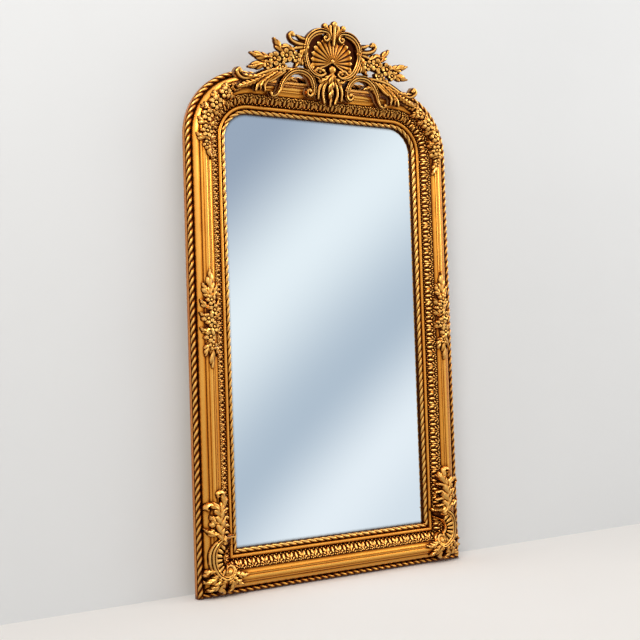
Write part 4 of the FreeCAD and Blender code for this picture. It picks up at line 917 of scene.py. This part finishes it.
for end, droop in (("_right", 0.0), ("_left", 20.0)):
    spray = Carving(98, 312, 78, 214, shade_bias=0.34)
    spray.scroll(lowered([(106, 164, 9), (150, 148, 14), (200, 138, 15), (246, 130, 11)]),
                 crown=1.0, lift=0.0, tone_and_shade=0.7)
    for path in ([(184, 158, 8), (204, 184, 15), (220, 206, 5)], [(234, 146, 8), (272, 152, 15), (302, 161, 4.5)],
                 [(234, 132, 8), (274, 122, 16), (306, 117, 4.5)], [(146, 166, 8), (172, 180, 12), (196, 179, 4.5)],
                 [(200, 118, 7), (216, 103, 11), (235, 97, 4.5)], [(120, 150, 7), (128, 128, 10), (142, 114, 4)]):
        spray.leaf(lowered(path), crown=9.0, lift=0.5, lobe=46.0)
    for k, (x, s, radius) in enumerate(((138, 147, 20), (186, 116, 19), (240, 123, 19),
                                        (174, 152, 25), (217, 142, 25))):
        x, s, radius = lowered([(x, s, radius)])[0]
        spray.flower(x, s, radius, crown=11.0, lift=1.5, petals=5, turn=0.8 * k)
    cut_through("flower_spray", spray, rim=-7.0, depth=18.0, ends=(end,))


# The room: a plain pale floor and, close behind, a pale wall. The floor does not show in mirror rays, because
# the real mirror leans back and shows none. The wall shows only its front and lets the light through.
def plain_surface(name, colour, corners, from_behind):
    mesh = bpy.data.meshes.new(name)
    mesh.from_pydata(corners, [], [(0, 1, 2, 3)])
    surface = bpy.data.objects.new(name, mesh)
    bpy.context.scene.collection.objects.link(surface)
    paint, tree, shader = new_coat(name)
    place = made(tree, "TexCoord", "Object")
    cloud = made(tree, "TexNoise", "Fac", {"Vector": place, "Scale": 1.6})
    clouded = graded(tree, cloud, (0.0, [0.96 * c for c in colour]), (1.0, colour))
    feed(tree, shader, {"Base Color": clouded, "Roughness": 0.8})
    ray = tree.nodes.new("ShaderNodeLightPath").outputs
    through = ray["Is Glossy Ray"]
    if from_behind:
        bounced = made(tree, "Math", "Value", {0: ray["Is Glossy Ray"], 1: ray["Is Transmission Ray"]})
        looking = made(tree, "Math", "Value", {0: ray["Is Camera Ray"], 1: bounced})
        unseen = made(tree, "Math", "Value", {0: 1.0, 1: looking}, operation="SUBTRACT", use_clamp=True)
        behind = made(tree, "NewGeometry", "Backfacing")
        through = made(tree, "Math", "Value", {0: behind, 1: unseen}, operation="MAXIMUM")
    clear = made(tree, "BsdfTransparent", "BSDF")
    either = made(tree, "MixShader", "Shader", {"Fac": through, 1: shader.outputs["BSDF"], 2: clear})
    feed(tree, tree.nodes["Material Output"], {"Surface": either})
    mesh.materials.append(paint)


WALL_Y = 0.06
plain_surface("floor", (0.90, 0.87, 0.835), [(-6, -7, 0), (6, -7, 0), (6, 6, 0), (-6, 6, 0)], False)
plain_surface("wall", (0.77, 0.78, 0.785), [(-6, WALL_Y, 0), (6, WALL_Y, 0), (6, WALL_Y, 5), (-6, WALL_Y, 5)], True)


# The lamps: three soft round ones, a warm key lamp from the left, a weaker one from the right and a plain one
# from above.
def lamp(name, place, aim, size, watts, colour):
    light = bpy.data.lights.new(name, "AREA")
    light.shape = "DISK"
    light.size = size
    light.energy = watts
    light.color = colour
    obj = bpy.data.objects.new(name, light)
    bpy.context.scene.collection.objects.link(obj)
    obj.location = place
    obj.rotation_euler = (Vector(place) - Vector(aim)).to_track_quat("Z", "Y").to_euler()


lamp("key_lamp", (-2.6, -2.6, 3.4), (0.0, 0.0, 0.9), size=1.6, watts=72.0, colour=(1.0, 0.975, 0.945))
lamp("side_lamp", (3.4, -1.8, 2.2), (0.0, 0.0, 0.9), size=1.8, watts=34.0, colour=(1.0, 0.985, 0.965))
lamp("top_lamp", (0.2, -1.2, 4.2), (0.0, 0.0, 1.0), size=2.0, watts=30.0, colour=(1.0, 1.0, 1.0))


# The bright room in front: even grey light, but what shines sees pale walls that grow lighter upwards, and a
# patch with soft slanting bands of light and shade, which the glass shows.
BAND_SLANT, BAND_START, BAND_END = (1117.9, 0.0, -984.5), 192.6, 792.6
PATCH_AIM, PATCH_RIM, PATCH_FULL = (0.495, -0.868, 0.03), 0.90, 0.96
world = bpy.data.worlds.new("bright_room")
bpy.context.scene.world = world
world.use_nodes = True
tree = world.node_tree
look = made(tree, "TexCoord", "Generated")
slant = made(tree, "VectorMath", "Value", {0: look, 1: BAND_SLANT}, operation="DOT_PRODUCT")
share = made(tree, "MapRange", "Result", {"Value": slant, "From Min": BAND_START, "From Max": BAND_END})
bands = graded(tree, share, (0.13, (0.411, 0.454, 0.521)), (0.408, (1.000, 0.995, 0.955)),
               (0.673, (0.555, 0.604, 0.650)), (0.860, (0.994, 0.978, 0.950)), (1.0, (0.841, 0.852, 0.850)),
               interpolation="EASE")
height = made(tree, "SeparateXYZ", "Z", {"Vector": look})
climb = made(tree, "MapRange", "Result", {"Value": height, "From Min": -1.0})
walls = graded(tree, climb, (0.0, (0.52, 0.48, 0.42)), (0.32, (0.34, 0.31, 0.27)), (0.44, (0.52, 0.49, 0.45)),
               (0.52, (0.76, 0.74, 0.71)), (0.70, (1.24, 1.21, 1.16)), (1.0, (0.80, 0.80, 0.80)))
facing = made(tree, "VectorMath", "Value", {0: look, 1: PATCH_AIM}, operation="DOT_PRODUCT")
patch = made(tree, "MapRange", "Result", {"Value": facing, "From Min": PATCH_RIM, "From Max": PATCH_FULL},
             interpolation_type="SMOOTHSTEP")
shown = made(tree, "Mix", "Result", {"Factor": patch, "A": walls, "B": bands}, data_type="RGBA")
glossy = made(tree, "LightPath", "Is Glossy Ray")
seen = made(tree, "Mix", "Result", {"Factor": glossy, "A": (0.46, 0.46, 0.46, 1), "B": shown}, data_type="RGBA")
feed(tree, tree.nodes["Background"], {"Color": seen})


# The camera: it stands low, to the left of the mirror, and is rolled a little, so that the upright mirror leans
# in the picture as it does in the room.
camera = bpy.data.cameras.new("camera")
camera.lens = 56.25
camera.sensor_width = 36.0
camera_obj = bpy.data.objects.new("camera", camera)
bpy.context.scene.collection.objects.link(camera_obj)
azimuth, elevation, roll = math.radians(-29.667), math.radians(-1.835), math.radians(-1.861)
towards = np.array([math.sin(azimuth) * math.cos(elevation), -math.cos(azimuth) * math.cos(elevation),
                    math.sin(elevation)])
right = np.cross([0, 0, 1], towards)
right /= np.linalg.norm(right)
up = np.cross(towards, right)
across = math.cos(roll) * right + math.sin(roll) * up
upward = -math.sin(roll) * right + math.cos(roll) * up
stand = (-1.7036, -2.9456, 0.7586)
camera_obj.matrix_world = Matrix([(across[k], upward[k], towards[k], stand[k]) for k in range(3)] + [(0, 0, 0, 1)])
bpy.context.scene.camera = camera_obj
bpy.context.scene.view_settings.view_transform = "Standard"
